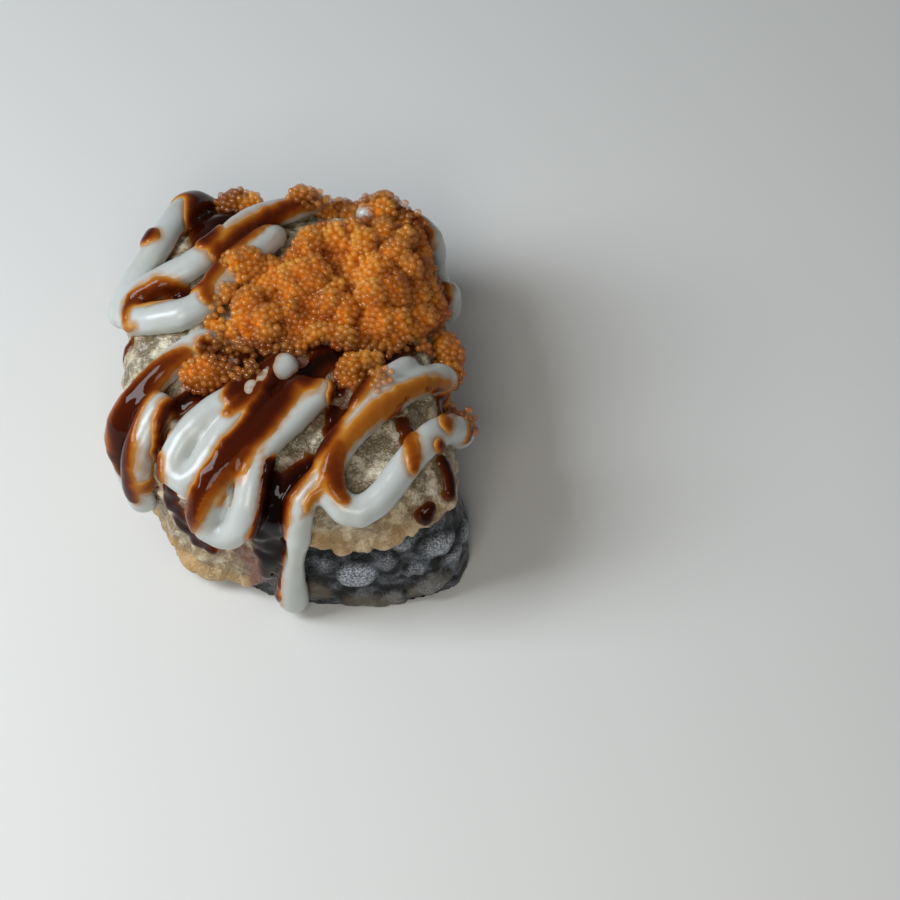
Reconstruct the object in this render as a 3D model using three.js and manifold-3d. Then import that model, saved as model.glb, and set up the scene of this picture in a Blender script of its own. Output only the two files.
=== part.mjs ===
// Fried futomaki: the end slice of a thick sushi roll in tempura batter, standing on its
// cut face, with mayonnaise piped over it in hairpin rows and heaps of orange capelin roe.
// Millimetres, +Z up. The slice stands on z = 0 and its box is centred on the Z axis.

import * as THREE from 'three';
import Module from 'manifold-3d';

const wasm = await Module();
wasm.setup();

// ---- Driving dimensions ---------------------------------------------------------------

const CROWN_HEIGHT = 33;      // top of the batter over the middle of the slice
const RIM_HEIGHT = 24;        // where the domed top turns into the side
const GAP = 0.3;              // clearance between neighbouring solids
const MEAN_RADIUS = 28;       // of the rim, for the batter's swellings
const COAT = 2.5;             // depth of the nori under the skin, where batter covers it
const SWELL = 0.24;           // rise and fall of the batter's surface
const BEAD = 2.35;            // half width of a mayonnaise row
const BEAD_LIFT = 0.9;        // how far a row's middle rides above the skin
const BEAD_STEP = 2.5;        // length of one facet along a row
const BEAD_SIDES = 8;
const STRETCH = 4;            // facets along a row that are made in one go
const SIDE_COLUMNS = 48;      // facets round the slice
const BARE_MIDDLE = 298;      // degrees; the side where the batter has come off the nori
const BARE_HALF = 40;         // degrees either way
const HEAP_COLUMNS = 1.2;     // facets round a roe heap for each millimetre of its radius
const HEAP_RINGS = 0.42;      // rings of facets for each millimetre of its radius
const HEAP_EDGE = 1;          // height of a heap's edge above the skin

// Outlines of the slice seen from above: at the rim of the batter, which leans out to the
// left, and at the foot, which is nearly square with one crisp corner at the front right.
const RIM_OUTLINE = [
  [24, 3], [24, 15], [19.5, 26.5], [7, 30], [-7, 31], [-18.5, 29.5], [-25.5, 19.5],
  [-27.5, 6], [-27, -7], [-23.5, -17.5], [-17, -25.5], [-4, -30], [12, -30.5],
  [23.2, -28], [26.6, -23.6], [25.5, -10],
];
const FOOT_OUTLINE = [
  [25.5, 3], [24.5, 14], [18.5, 23.5], [6, 27], [-6, 27.5], [-16, 24.5], [-22, 15],
  [-24, 3], [-23.5, -9], [-21, -17.5], [-16.5, -25], [-5, -28.6], [10, -30.3],
  [22, -28.5], [28.3, -23.8], [27, -10],
];

// Side view of the skin. Reach runs from 0 on the crown over 1 at the rim to 2 at the foot.
const SIDE_SHARE = [[0, 0], [0.35, 0.36], [0.6, 0.62], [0.8, 0.82], [0.92, 0.935],
  [1, 0.985], [1.12, 1], [1.5, 1], [2, 1]];
const SIDE_HEIGHT = [[0, CROWN_HEIGHT], [0.35, CROWN_HEIGHT - 0.4], [0.6, CROWN_HEIGHT - 1.8],
  [0.8, CROWN_HEIGHT - 4], [0.92, CROWN_HEIGHT - 6.3], [1, RIM_HEIGHT],
  [1.12, RIM_HEIGHT - 3.6], [1.5, RIM_HEIGHT - 12.5], [2, 0]];

// Height of the batter's ragged hem, by angle in degrees counted from +X towards +Y.
const HEM = [[0, 9], [14, 4], [30, 1.6], [48, 3.2], [66, 1.4], [90, 2.6], [112, 1.3],
  [135, 3], [155, 1.8], [172, 4.2], [190, 2], [206, 3.6], [222, 5], [234, 1.6],
  [246, 2.4], [258, 2], [265, 7], [270, 16], [277, 20], [284, 16.8], [292, 17.2],
  [301, 19.5], [310, 22.4], [319, 22.6], [330, 19], [342, 15], [351, 13]];

// Mayonnaise rows. Points are [u, v, half width] on the skin's flat map in millimetres:
// up to the rim u and v are x and y, and past it the way goes on down the side.
const ROWS = {
  mayo_back_left: [
    [[-15.5, 40], [-15.6, 35], [-16.6, 29], [-18.6, 24], [-20.6, 18.6], [-22.8, 14],
      [-25, 10.4], [-27, 6.4, 2.2]],
    [[3.4, 36.5], [3.4, 31], [0.8, 26.2], [-3.4, 24], [-7.2, 21.4], [-10.4, 17.2], [-14.4, 13.4],
      [-19, 11.2], [-23, 9.8], [-25, 7.4, 2.2], [-23.6, 5, 2.3], [-20.4, 4, 2.6],
      [-15.8, 3.6, 2.6], [-12.7, 5.6], [-11, 8.6], [-8.2, 12.4], [-4.6, 16.4],
      [-1.4, 19.8, 2]],
  ],
  mayo_left: [
    [[-10.6, -0.8, 2], [-14, -2.6], [-18, -5.6], [-22, -9], [-25.6, -12.4], [-30, -15.6],
      [-33, -19.5], [-33.6, -23.6, 2.5], [-30, -25.4, 2.5], [-26.4, -22.6], [-23, -19.2],
      [-21.4, -16], [-19.6, -12.8], [-17.6, -9.9, 2.1]],
  ],
  mayo_front_left: [
    [[1.2, -5.6, 2.6], [-3.6, -9.2, 2.1], [-8.4, -12.4, 2.4], [-12.8, -15.4, 2.5],
      [-15.9, -18.8], [-16.6, -22.2], [-14, -23.4], [-11.2, -20.6], [-8.8, -17],
      [-6.2, -13.6], [-3.2, -10.6, 1.9]],
    [[3.4, -9, 1.8], [-0.6, -13.6, 2], [-4.4, -17.8, 2.1], [-8.2, -21.4], [-11.4, -25],
      [-13, -28.6], [-11.6, -31.2, 2.4], [-8, -30.8, 2.4], [-5.8, -27.6], [-5, -24.2],
      [-3.6, -20.6, 2.1], [-0.2, -17, 2], [3.8, -12.8, 2.1], [6.6, -9.6, 2]],
  ],
  mayo_front_right: [
    [[24.6, -4.2, 2.1], [21.6, -5.6], [17.8, -9.2], [13.4, -13.4], [9.4, -17.8],
      [6.8, -21.6], [6.4, -25.2], [8.2, -27.6, 2.5], [11.4, -28.2, 2.6], [14.4, -26.2],
      [16.8, -23.2], [19.4, -19.6], [22.4, -15.6], [25.8, -13], [29.4, -12.6, 2.6]],
    [[6.4, -23.6, 1.8], [3.6, -25.6, 2], [2.2, -28.2, 2.1], [2, -32.2, 1.9], [1.8, -37, 1.4],
      [1.3, -43, 1.7], [0.9, -49, 2.2], [1, -55, 2.5], [1.2, -59.4, 2.6]],
    [[18.8, -3.4, 1.5], [16.2, -6.4, 1.8], [12.6, -10.8, 1.9], [10.2, -14.4, 1.5]],
  ],
  mayo_back: [
    [[9.6, 25, 1.8], [13, 26, 1.9], [16.8, 25.8, 2], [20, 24.4], [23, 25.6], [26.4, 30],
      [31.4, 30.6, 2.5], [33, 25.4, 2.5], [28.4, 19.8], [24.4, 15.4, 2]],
  ],
};

// Roe lumps as [u, v, half width, height above the skin], in millimetres.
const ROE = {
  roe_heap: [
    [-5.4, 4.6, 3.2, 3.4], [-2.4, 9, 3.6, 4.2], [-5, 0, 3.4, 3], [-0.4, 4, 4.2, 4.4],
    [1.8, -1.4, 2.8, 2.4], [3, 12.6, 4.6, 4.8], [6.8, 6.8, 4.8, 5.4], [5.4, 18.4, 4, 3.4],
    [10.8, 14.4, 5, 5.6], [11.8, 6.4, 4.8, 6], [8.6, 0, 3.6, 3], [15.8, 11.6, 5.2, 6.4],
    [16.2, 4.4, 4.4, 5], [16.4, 19, 4.4, 4.4], [13.8, -0.6, 3, 2.8], [11.4, 20.8, 3.2, 3],
    [20, 8, 3.4, 4.4],
  ],
  roe_clump_left: [
    [-13.7, -7.6, 2.1, 3.6], [-12, -8.2, 2.3, 3.2], [-12, -6.3, 1.9, 3.4], [-9.8, -7, 2.2, 2.4],
  ],
  roe_clump_front: [
    [10.2, -6.6, 2.4, 3], [12.2, -5.2, 2, 2.8], [8.8, -8.6, 2, 2.2],
  ],
  roe_clump_back: [
    [6.8, 29.4, 2.2, 2.6], [10, 31, 2.5, 3], [13.6, 31.2, 2.5, 3], [17, 30.2, 2.3, 2.6],
  ],
  roe_clump_back_left: [
    [-9.4, 29.6, 2.6, 3], [-7, 28, 2.3, 2.6], [-11.6, 30.8, 2.2, 2.6],
  ],
  roe_clump_right: [
    [24.4, 2.6, 2.8, 3.2], [25.4, -1, 2.6, 2.8], [26.8, 4.4, 2.6, 2.6],
  ],
};

// ---- The slice's skin -----------------------------------------------------------------

const FULL_TURN = 2 * Math.PI;
const OUTLINE_SAMPLES = 720;

// A smooth curve y(x) through [x, y] points, looping after a full period when one is given.
function smoothTable(points, period = 0) {
  const before = period ? [[points.at(-1)[0] - period, points.at(-1)[1]]] : [];
  const after = period ? points.slice(0, 2).map(([x, y]) => [x + period, y]) : [];
  const knots = [...before, ...points, ...after];
  const slope = (i) => {
    const [low, high] = [knots[Math.max(i - 1, 0)], knots[Math.min(i + 1, knots.length - 1)]];
    return (high[1] - low[1]) / (high[0] - low[0]);
  };
  return (x) => {
    const wrapped = period ? THREE.MathUtils.euclideanModulo(x, period) : x;
    let i = knots.findIndex(([knot]) => knot > wrapped) - 1;
    if (i < 0) i = knots.length - 2;
    const [[x0, y0], [x1, y1]] = [knots[i], knots[i + 1]];
    const width = x1 - x0;
    const s = THREE.MathUtils.clamp((wrapped - x0) / width, 0, 1);
    const rise = 3 * s ** 2 - 2 * s ** 3;
    const bend0 = (s ** 3 - 2 * s ** 2 + s) * width * slope(i);
    const bend1 = (s ** 3 - s ** 2) * width * slope(i + 1);
    return y0 + (y1 - y0) * rise + bend0 + bend1;
  };
}

// Radius of a closed outline as a function of the angle round the Z axis.
function outlineRadius(outline) {
  const corners = outline.map(([x, y]) => new THREE.Vector3(x, y, 0));
  const curve = new THREE.CatmullRomCurve3(corners, true, 'catmullrom', 0.5);
  const polar = curve.getPoints(OUTLINE_SAMPLES).slice(0, -1).map((p) => [
    THREE.MathUtils.euclideanModulo(Math.atan2(p.y, p.x), FULL_TURN),
    Math.hypot(p.x, p.y),
  ]);
  polar.sort((a, b) => a[0] - b[0]);
  const table = [
    [polar.at(-1)[0] - FULL_TURN, polar.at(-1)[1]],
    ...polar,
    [polar[0][0] + FULL_TURN, polar[0][1]],
  ];
  return (angle) => {
    const turn = THREE.MathUtils.euclideanModulo(angle, FULL_TURN);
    const i = table.findIndex(([a]) => a > turn);
    const [[a0, r0], [a1, r1]] = [table[i - 1], table[i]];
    return THREE.MathUtils.mapLinear(turn, a0, a1, r0, r1);
  };
}

const rimRadius = outlineRadius(RIM_OUTLINE);
const footRadius = outlineRadius(FOOT_OUTLINE);
const shareAt = smoothTable(SIDE_SHARE);
const heightAt = smoothTable(SIDE_HEIGHT);
const hemHeight = smoothTable(HEM, 360);

function bareSkin(angle, reach) {
  const lean = THREE.MathUtils.smoothstep(reach, 1, 2);
  const radius = THREE.MathUtils.lerp(rimRadius(angle), footRadius(angle), lean);
  const out = radius * shareAt(reach);
  return new THREE.Vector3(out * Math.cos(angle), out * Math.sin(angle), heightAt(reach));
}

function skinNormal(angle, reach) {
  const near = Math.max(reach, 0.02);
  const d = 0.01;
  const down = bareSkin(angle, near + d).sub(bareSkin(angle, near - d));
  const round = bareSkin(angle + d, near).sub(bareSkin(angle - d, near));
  return down.cross(round).normalize();
}

// A point on the skin, lifted off it along its normal.
function skinPoint(angle, reach, lift = 0) {
  return bareSkin(angle, reach).addScaledVector(skinNormal(angle, reach), lift);
}

function mapPoint(u, v, lift) {
  const angle = Math.atan2(v, u);
  const reach = Math.hypot(u, v) / rimRadius(angle);
  const normal = skinNormal(angle, reach);
  return { point: bareSkin(angle, reach).addScaledVector(normal, lift), normal };
}

// Reach at which the side passes a height, found by halving between rim and foot.
function reachAtHeight(height) {
  let [low, high] = [1, 2];
  while (high - low > 1e-6) {
    const middle = (low + high) / 2;
    if (heightAt(middle) > height) low = middle;
    else high = middle;
  }
  return low;
}

// ---- Closed bodies --------------------------------------------------------------------

// A closed body through rings of points, with one pole before the first ring and one after
// the last.
function loft(firstPole, rings, lastPole) {
  const sides = rings[0].length;
  const points = [firstPole, ...rings.flat(), lastPole];
  const last = points.length - 1;
  const at = (ring, side) => 1 + ring * sides + (side % sides);
  const triangles = [];
  for (let side = 0; side < sides; side += 1) {
    triangles.push([0, at(0, side), at(0, side + 1)]);
    triangles.push([last, at(rings.length - 1, side + 1), at(rings.length - 1, side)]);
    for (let ring = 0; ring < rings.length - 1; ring += 1) {
      const [a, b] = [at(ring, side), at(ring, side + 1)];
      const [c, d] = [at(ring + 1, side), at(ring + 1, side + 1)];
      triangles.push([a, c, b], [b, c, d]);
    }
  }
  return solid(points, triangles);
}

// A manifold solid whose faces point outwards.
function solid(points, triangles) {
  const volume = triangles.reduce((sum, [a, b, c]) => (
    sum + points[a].dot(new THREE.Vector3().crossVectors(points[b], points[c]))), 0);
  const facing = volume > 0 ? triangles : triangles.map(([a, b, c]) => [a, c, b]);
  return new wasm.Manifold(new wasm.Mesh({
    numProp: 3,
    vertProperties: new Float32Array(points.flatMap((p) => p.toArray())),
    triVerts: new Uint32Array(facing.flat()),
  }));
}

function union(solids) {
  return solids.reduce((sum, next) => sum.add(next));
}

const columnAngles = Array.from({ length: SIDE_COLUMNS }, (_, i) => (i * FULL_TURN) / SIDE_COLUMNS);

// Rings of points on the skin; reachOf and liftOf may depend on the angle.
function skinRings(steps, reachOf, liftOf) {
  return steps.map((step) => columnAngles.map((angle, column) => {
    const reach = reachOf(step, angle, column);
    return skinPoint(angle, reach, liftOf(angle, reach));
  }));
}

const crown = (lift) => new THREE.Vector3(0, 0, CROWN_HEIGHT + lift);

// ---- Nori-wrapped roll ----------------------------------------------------------------

// How bare of batter the side is at an angle: 1 where the nori shows, 0 where it is coated.
function bareness(angle) {
  const degrees = THREE.MathUtils.radToDeg(angle) - BARE_MIDDLE;
  const away = Math.abs(THREE.MathUtils.euclideanModulo(degrees + 180, 360) - 180);
  return 1 - THREE.MathUtils.smoothstep(away, BARE_HALF * 0.75, BARE_HALF * 1.25);
}

// Depth of the nori under the skin: it comes out to the skin low on the bare side.
function noriDepth(angle, reach) {
  const low = THREE.MathUtils.smoothstep(reach, 1.1, 1.6);
  return COAT - (COAT - GAP) * bareness(angle) * low;
}

const ROLL_REACHES = [0.3, 0.55, 0.75, 0.9, 1, 1.12, 1.25, 1.4, 1.6, 1.8, 2];

function noriRoll(grow = 0) {
  const lift = (angle, reach) => grow - noriDepth(angle, reach);
  const rings = skinRings(ROLL_REACHES, (reach) => reach, lift);
  rings.at(-1).forEach((point) => point.setZ(-grow));
  return loft(crown(grow - COAT), rings, new THREE.Vector3(0, 0, -grow));
}

// ---- Batter ---------------------------------------------------------------------------

const DOME_REACHES = [0.22, 0.42, 0.6, 0.76, 0.88, 0.96];
const SIDE_STEPS = [0, 0.16, 0.34, 0.55, 0.78, 0.94];

// Soft swellings of the batter, a few millimetres apart, always just under the skin.
function batterLift(angle, reach) {
  const [u, v] = [Math.cos(angle) * reach * MEAN_RADIUS, Math.sin(angle) * reach * MEAN_RADIUS];
  const swell = Math.sin(0.55 * u + 1.3) * Math.sin(0.48 * v + 0.4) + Math.sin(0.9 * u - 0.7 * v);
  return SWELL * (swell / 2 - 1);
}

// The batter's dome and sides down to the ragged hem, over the roll.
function batterCoat() {
  const hemReach = columnAngles.map((angle) => (
    reachAtHeight(hemHeight(THREE.MathUtils.radToDeg(angle)))));
  const along = (step, angle, column) => THREE.MathUtils.lerp(1, hemReach[column], step);
  const sunk = (angle, reach) => -GAP - noriDepth(angle, reach);
  const halfway = (angle, reach) => (batterLift(angle, reach) + sunk(angle, reach)) / 2;
  const rings = [
    ...skinRings(DOME_REACHES, (reach) => reach, batterLift),
    ...skinRings(SIDE_STEPS, along, batterLift),
    ...skinRings([1], along, halfway),
    ...skinRings([0.94], along, sunk),
    ...skinRings([0.96, 0.6], (reach) => reach, sunk),
  ];
  const thick = loft(crown(batterLift(0, 0)), rings, crown(-GAP - COAT));
  return thick.subtract(noriRoll(GAP));
}

// ---- Mayonnaise -----------------------------------------------------------------------

const TIP_RINGS = [0.12, 0.5]; // where the rings of a round end lie, as shares of its length
const AHEAD = 0.005;           // share of a row between the points that give its direction

// One piped row along a route on the skin's flat map, with round ends. It is joined from
// short stretches, so that a hairpin whose arms touch is still one sound body.
function bead(route) {
  const knots = route.map(([u, v, half = BEAD]) => new THREE.Vector3(u, v, half));
  const curve = new THREE.CatmullRomCurve3(knots, false, 'catmullrom', 0.5);
  const length = curve.getLength();
  const steps = Math.round(length / BEAD_STEP);
  const middle = Array.from({ length: steps - 1 }, (_, i) => (i + 1) / steps);
  const tip = BEAD / length;
  const starts = TIP_RINGS.map((share) => share * tip);
  const shares = [...starts, ...middle, ...starts.map((share) => 1 - share).reverse()];
  const centre = (share) => {
    const { x, y, z } = curve.getPointAt(THREE.MathUtils.clamp(share, 0, 1));
    return { ...mapPoint(x, y, BEAD_LIFT), half: z };
  };
  const rings = shares.map((share) => {
    const { point, normal, half } = centre(share);
    const ahead = centre(share + AHEAD).point.sub(centre(share - AHEAD).point).normalize();
    const across = new THREE.Vector3().crossVectors(ahead, normal).normalize();
    const fromEnd = Math.min(Math.min(share, 1 - share) / tip, 1);
    const radius = half * Math.sqrt(1 - (1 - fromEnd) ** 2);
    return Array.from({ length: BEAD_SIDES }, (_, side) => {
      const turn = ((side + 0.5) * FULL_TURN) / BEAD_SIDES;
      const rise = Math.max(radius * Math.sin(turn), GAP - BEAD_LIFT);
      return point.clone()
        .addScaledVector(across, radius * Math.cos(turn))
        .addScaledVector(normal, rise);
    });
  });
  const stretches = [];
  for (let first = 0; first < rings.length - 1; first += STRETCH) {
    const last = Math.min(first + STRETCH, rings.length - 1);
    const start = centre(first === 0 ? 0 : shares[first]).point;
    const end = centre(last === rings.length - 1 ? 1 : shares[last]).point;
    stretches.push(loft(start, rings.slice(first, last + 1), end));
  }
  return union(stretches);
}

// ---- Roe ------------------------------------------------------------------------------

// Height of the roe above the skin's flat map: the highest of its rounded lumps.
function roeHeight(lumps, u, v) {
  return Math.max(0, ...lumps.map(([x, y, half, height]) => {
    const away = Math.hypot(u - x, v - y) / half;
    return away < 1 ? height * Math.sqrt(1 - away ** 2) : 0;
  }));
}

// A heap of roe as one body, out to its uneven outline, lying along the skin.
function roeHeap(lumps) {
  const sum = lumps.reduce(([x, y], [u, v]) => [x + u, y + v], [0, 0]);
  const [u0, v0] = sum.map((total) => total / lumps.length);
  const edgeAt = (turn) => {
    let far = 30;
    const heightOut = () => roeHeight(lumps, u0 + far * Math.cos(turn), v0 + far * Math.sin(turn));
    while (heightOut() < HEAP_EDGE) far -= 0.1;
    return far;
  };
  const widest = Math.max(...lumps.map(([u, v, half]) => Math.hypot(u - u0, v - v0) + half));
  const columns = Math.round(widest * HEAP_COLUMNS) + 6;
  const edges = Array.from({ length: columns }, (_, i) => {
    const turn = (i * FULL_TURN) / columns;
    return { turn, far: edgeAt(turn) };
  });
  const ring = (share, liftOf) => edges.map(({ turn, far }) => {
    const u = u0 + far * share * Math.cos(turn);
    const v = v0 + far * share * Math.sin(turn);
    return mapPoint(u, v, liftOf(u, v)).point;
  });
  const count = Math.round(widest * HEAP_RINGS) + 2;
  const shares = Array.from({ length: count }, (_, i) => (i + 1) / (count + 0.3));
  const top = (u, v) => Math.max(roeHeight(lumps, u, v), HEAP_EDGE);
  const foot = () => GAP;
  const rings = [
    ...shares.map((share) => ring(share, top)),
    ring(1, () => HEAP_EDGE / 2 + GAP / 2),
    ...shares.map((share) => ring(share, foot)).reverse(),
  ];
  return loft(mapPoint(u0, v0, top(u0, v0)).point, rings, mapPoint(u0, v0, GAP).point);
}

// ---- The slice ------------------------------------------------------------------------

const FINISHES = {
  nori: { color: 0x2a2b2e, roughness: 0.6, metalness: 0 },
  batter: { color: 0x93866c, roughness: 0.5, metalness: 0 },
  mayonnaise: { color: 0xd3d8d4, roughness: 0.25, metalness: 0 },
  roe: { color: 0xc47931, roughness: 0.25, metalness: 0 },
};

function namedMesh(name, body, finish) {
  const { vertProperties, triVerts } = body.getMesh();
  const geometry = new THREE.BufferGeometry();
  geometry.setAttribute('position', new THREE.BufferAttribute(vertProperties, 3));
  geometry.setIndex(new THREE.BufferAttribute(triVerts, 1));
  const mesh = new THREE.Mesh(geometry, new THREE.MeshStandardMaterial(FINISHES[finish]));
  mesh.name = name;
  return mesh;
}

const slice = new THREE.Group();
slice.add(namedMesh('nori_roll', noriRoll(), 'nori'));
slice.add(namedMesh('batter_coat', batterCoat(), 'batter'));
for (const [name, routes] of Object.entries(ROWS)) {
  slice.add(namedMesh(name, union(routes.map(bead)), 'mayonnaise'));
}
for (const [name, lumps] of Object.entries(ROE)) {
  slice.add(namedMesh(name, roeHeap(lumps), 'roe'));
}

const box = new THREE.Box3().setFromObject(slice);
const centre = box.getCenter(new THREE.Vector3());
slice.position.set(-centre.x, -centre.y, -box.min.z);

export default slice;
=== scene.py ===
"""Slice of fried futomaki: a nori roll in tempura batter under piped mayonnaise, glaze and roe.

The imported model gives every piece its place. The nori, the crust, the mayonnaise and the roe are
made finer here, and the glaze is added. Sizes are in millimetres unless a name says otherwise.
"""

import logging
import math
from dataclasses import dataclass
from enum import Enum

import bmesh
import bpy
import numpy as np
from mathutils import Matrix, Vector, noise
from mathutils.bvhtree import BVHTree
from mathutils.kdtree import KDTree


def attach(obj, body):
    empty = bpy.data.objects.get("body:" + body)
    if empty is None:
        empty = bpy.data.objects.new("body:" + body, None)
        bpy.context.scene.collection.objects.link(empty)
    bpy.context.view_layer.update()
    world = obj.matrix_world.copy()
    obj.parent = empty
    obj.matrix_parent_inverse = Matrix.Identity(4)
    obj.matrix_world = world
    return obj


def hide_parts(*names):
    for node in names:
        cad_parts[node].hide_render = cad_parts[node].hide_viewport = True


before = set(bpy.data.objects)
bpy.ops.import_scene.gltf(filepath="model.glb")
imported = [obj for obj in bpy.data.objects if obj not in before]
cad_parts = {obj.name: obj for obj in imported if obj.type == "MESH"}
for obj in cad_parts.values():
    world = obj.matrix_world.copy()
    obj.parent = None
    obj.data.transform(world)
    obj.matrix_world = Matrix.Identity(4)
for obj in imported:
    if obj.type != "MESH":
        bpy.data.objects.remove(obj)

MM = 0.001
RIM_LEVEL = 27.0
"""Height at which the crown turns down into the side, from where the unrolled map counts the drop."""
MIX_A, MIX_B, MIX_OUT = 6, 7, 2
"""Sockets of a colour Mix node."""
BASE_VOXEL = 0.36
"""Fineness of the joined surface of roll, crust and mayonnaise, which carries the glaze and the roe."""
ACROSS = 0.75
"""Share of the height over a run that is left out of a distance, so that runs follow the surface."""

log = logging.getLogger("futomaki")


# Small helpers -------------------------------------------------------------------------------


def to_linear(colour: str) -> tuple[float, float, float, float]:
    """Turns an sRGB hex colour into a linear one.

    Args:
        colour: Six hex digits after a hash.

    Returns:
        Red, green, blue and an alpha of 1.
    """
    channels = [int(colour[at:at + 2], 16) / 255 for at in (1, 3, 5)]
    curve = [c / 12.92 if c <= 0.04045 else ((c + 0.055) / 1.055) ** 2.4 for c in channels]
    return (curve[0], curve[1], curve[2], 1.0)


def add_node(tree: bpy.types.NodeTree, kind: str, settings: dict | None = None,
             links: dict | None = None) -> bpy.types.Node:
    """Adds one node to a tree, sets it and wires its inputs.

    Args:
        tree: Tree that takes the node.
        kind: Blender's type name of the node.
        settings: Values by input name, input number or property name. Stops fill a colour ramp.
        links: Output sockets by input name or number.

    Returns:
        The new node.
    """
    node = tree.nodes.new(kind)
    for key, value in (settings or {}).items():
        if key == "stops":
            elements = node.color_ramp.elements
            while len(elements) < len(value):
                elements.new(1.0)
            for element, (position, colour) in zip(elements, value):
                element.position = position
                element.color = to_linear(colour)
        elif isinstance(key, int) or key in node.inputs:
            node.inputs[key].default_value = value
        else:
            setattr(node, key, value)
    for key, socket in (links or {}).items():
        tree.links.new(socket, node.inputs[key])
    return node


def blank_material(name: str) -> tuple[bpy.types.Material, bpy.types.NodeTree]:
    """Makes an empty node material.

    Args:
        name: Name of the real material.

    Returns:
        The material and its cleared node tree.
    """
    material = bpy.data.materials.new(name)
    material.use_nodes = True
    material.node_tree.nodes.clear()
    return material, material.node_tree


def smoothstep(value: np.ndarray, low: float, high: float) -> np.ndarray:
    """Eases from 0 at low to 1 at high.

    Args:
        value: Numbers to ease.
        low: Where the rise starts.
        high: Where it ends.

    Returns:
        Eased numbers from 0 to 1.
    """
    share = np.clip((value - low) / (high - low), 0.0, 1.0)
    return share * share * (3.0 - 2.0 * share)


def fractal(points: np.ndarray, size: float, octaves: int = 3, seed: float = 0.0) -> np.ndarray:
    """Gives soft fractal noise, mostly between -1 and 1.

    Args:
        points: Places in millimetres, one row each.
        size: Width of the largest swells.
        octaves: Number of finer layers.
        seed: Shift that gives another pattern.

    Returns:
        One number for each place.
    """
    scaled = points / size + seed
    values = [noise.fractal(place, 1.0, 2.0, octaves) for place in scaled.tolist()]
    return np.array(values)


def wander(points: np.ndarray, size: float, octaves: int,
           seeds: tuple[float, float, float]) -> np.ndarray:
    """Gives fractal noise in three directions, which bends the outline of a shape.

    Args:
        points: Places in millimetres, one row each.
        size: Width of the largest swells.
        octaves: Number of finer layers.
        seeds: Pattern of each direction.

    Returns:
        One row of three shifts for each place.
    """
    return np.stack([fractal(points, size, octaves, seed) for seed in seeds], 1)


def pebbles(points: np.ndarray, size: float, seed: float = 0.0) -> np.ndarray:
    """Gives the height of rounded pebbles packed side by side, with creases between them.

    Args:
        points: Places in millimetres, one row each.
        size: Usual width of a pebble.
        seed: Shift that gives another packing.

    Returns:
        Heights from 0 in a crease to 1 on a crest.
    """
    scaled = points / size + seed
    near = np.array([noise.voronoi(place)[0][:2] for place in scaled.tolist()])
    return 1.0 - np.exp(-2.4 * (near[:, 1] - near[:, 0]))


def unroll(points: np.ndarray) -> np.ndarray:
    """Lays the surface flat: plan places on the crown, and the side folded out round it.

    Args:
        points: Places in millimetres, one row each.

    Returns:
        Two numbers for each place.
    """
    radius = np.maximum(np.hypot(points[:, 0], points[:, 1]), 1e-3)
    drop = np.maximum(0.0, RIM_LEVEL - points[:, 2])
    return points[:, :2] * ((radius + drop) / radius)[:, None]


def coords(thing: bpy.types.Object) -> np.ndarray:
    """Returns the vertices of an object in millimetres, one row each."""
    flat = np.empty(len(thing.data.vertices) * 3)
    thing.data.vertices.foreach_get("co", flat)
    return flat.reshape(-1, 3) / MM


def set_coords(thing: bpy.types.Object, points: np.ndarray) -> None:
    """Moves the vertices of an object to places in millimetres, none under the floor."""
    placed = points.copy()
    placed[:, 2] = np.maximum(placed[:, 2], 0.0)
    thing.data.vertices.foreach_set("co", (placed * MM).ravel())
    thing.data.update()


def normals(thing: bpy.types.Object) -> np.ndarray:
    """Returns the vertex normals of an object, one row each."""
    flat = np.empty(len(thing.data.vertices) * 3)
    thing.data.vertex_normals.foreach_get("vector", flat)
    return flat.reshape(-1, 3)


def store(thing: bpy.types.Object, name: str, values: np.ndarray) -> None:
    """Keeps one number for each vertex as a named attribute."""
    layer = thing.data.attributes.new(name, "FLOAT", "POINT")
    layer.data.foreach_set("value", values.astype(np.float32))


def bake(thing: bpy.types.Object) -> None:
    """Applies an object's modifiers to its mesh."""
    view = bpy.context.evaluated_depsgraph_get()
    finished = bpy.data.meshes.new_from_object(thing.evaluated_get(view))
    old = thing.data
    thing.modifiers.clear()
    thing.data = finished
    bpy.data.meshes.remove(old)


def remesh(thing: bpy.types.Object, voxel: float) -> None:
    """Gives an object an even skin of small squares.

    Args:
        thing: Object of closed shapes, which may cross each other.
        voxel: Width of a square.
    """
    modifier = thing.modifiers.new("remesh", "REMESH")
    modifier.mode = "VOXEL"
    modifier.voxel_size = voxel * MM
    modifier.use_smooth_shade = True
    bake(thing)


def relax(thing: bpy.types.Object, rounds: int, factor: float = 0.5) -> None:
    """Smooths an object.

    Args:
        thing: Object to smooth.
        rounds: Number of passes.
        factor: Share of the way to the neighbours' middle in each pass.
    """
    modifier = thing.modifiers.new("relax", "SMOOTH")
    modifier.factor = factor
    modifier.iterations = rounds
    bake(thing)


def from_bmesh(name: str, build: bmesh.types.BMesh) -> bpy.types.Object:
    """Makes an object of a bmesh and frees the bmesh.

    Args:
        name: Name of the object.
        build: Finished bmesh in metres.

    Returns:
        The linked object, shaded smooth.
    """
    mesh = bpy.data.meshes.new(name)
    build.to_mesh(mesh)
    build.free()
    mesh.shade_smooth()
    thing = bpy.data.objects.new(name, mesh)
    bpy.context.scene.collection.objects.link(thing)
    return thing


def join_copies(name: str, things: list[bpy.types.Object]) -> bpy.types.Object:
    """Joins merged copies of objects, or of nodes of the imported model, in one new object.

    Args:
        name: Name of the new object.
        things: Objects to copy.

    Returns:
        The joined copy.
    """
    build = bmesh.new()
    for thing in things:
        build.from_mesh(thing.data)
    bmesh.ops.remove_doubles(build, verts=build.verts, dist=1e-6)
    return from_bmesh(name, build)


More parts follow.
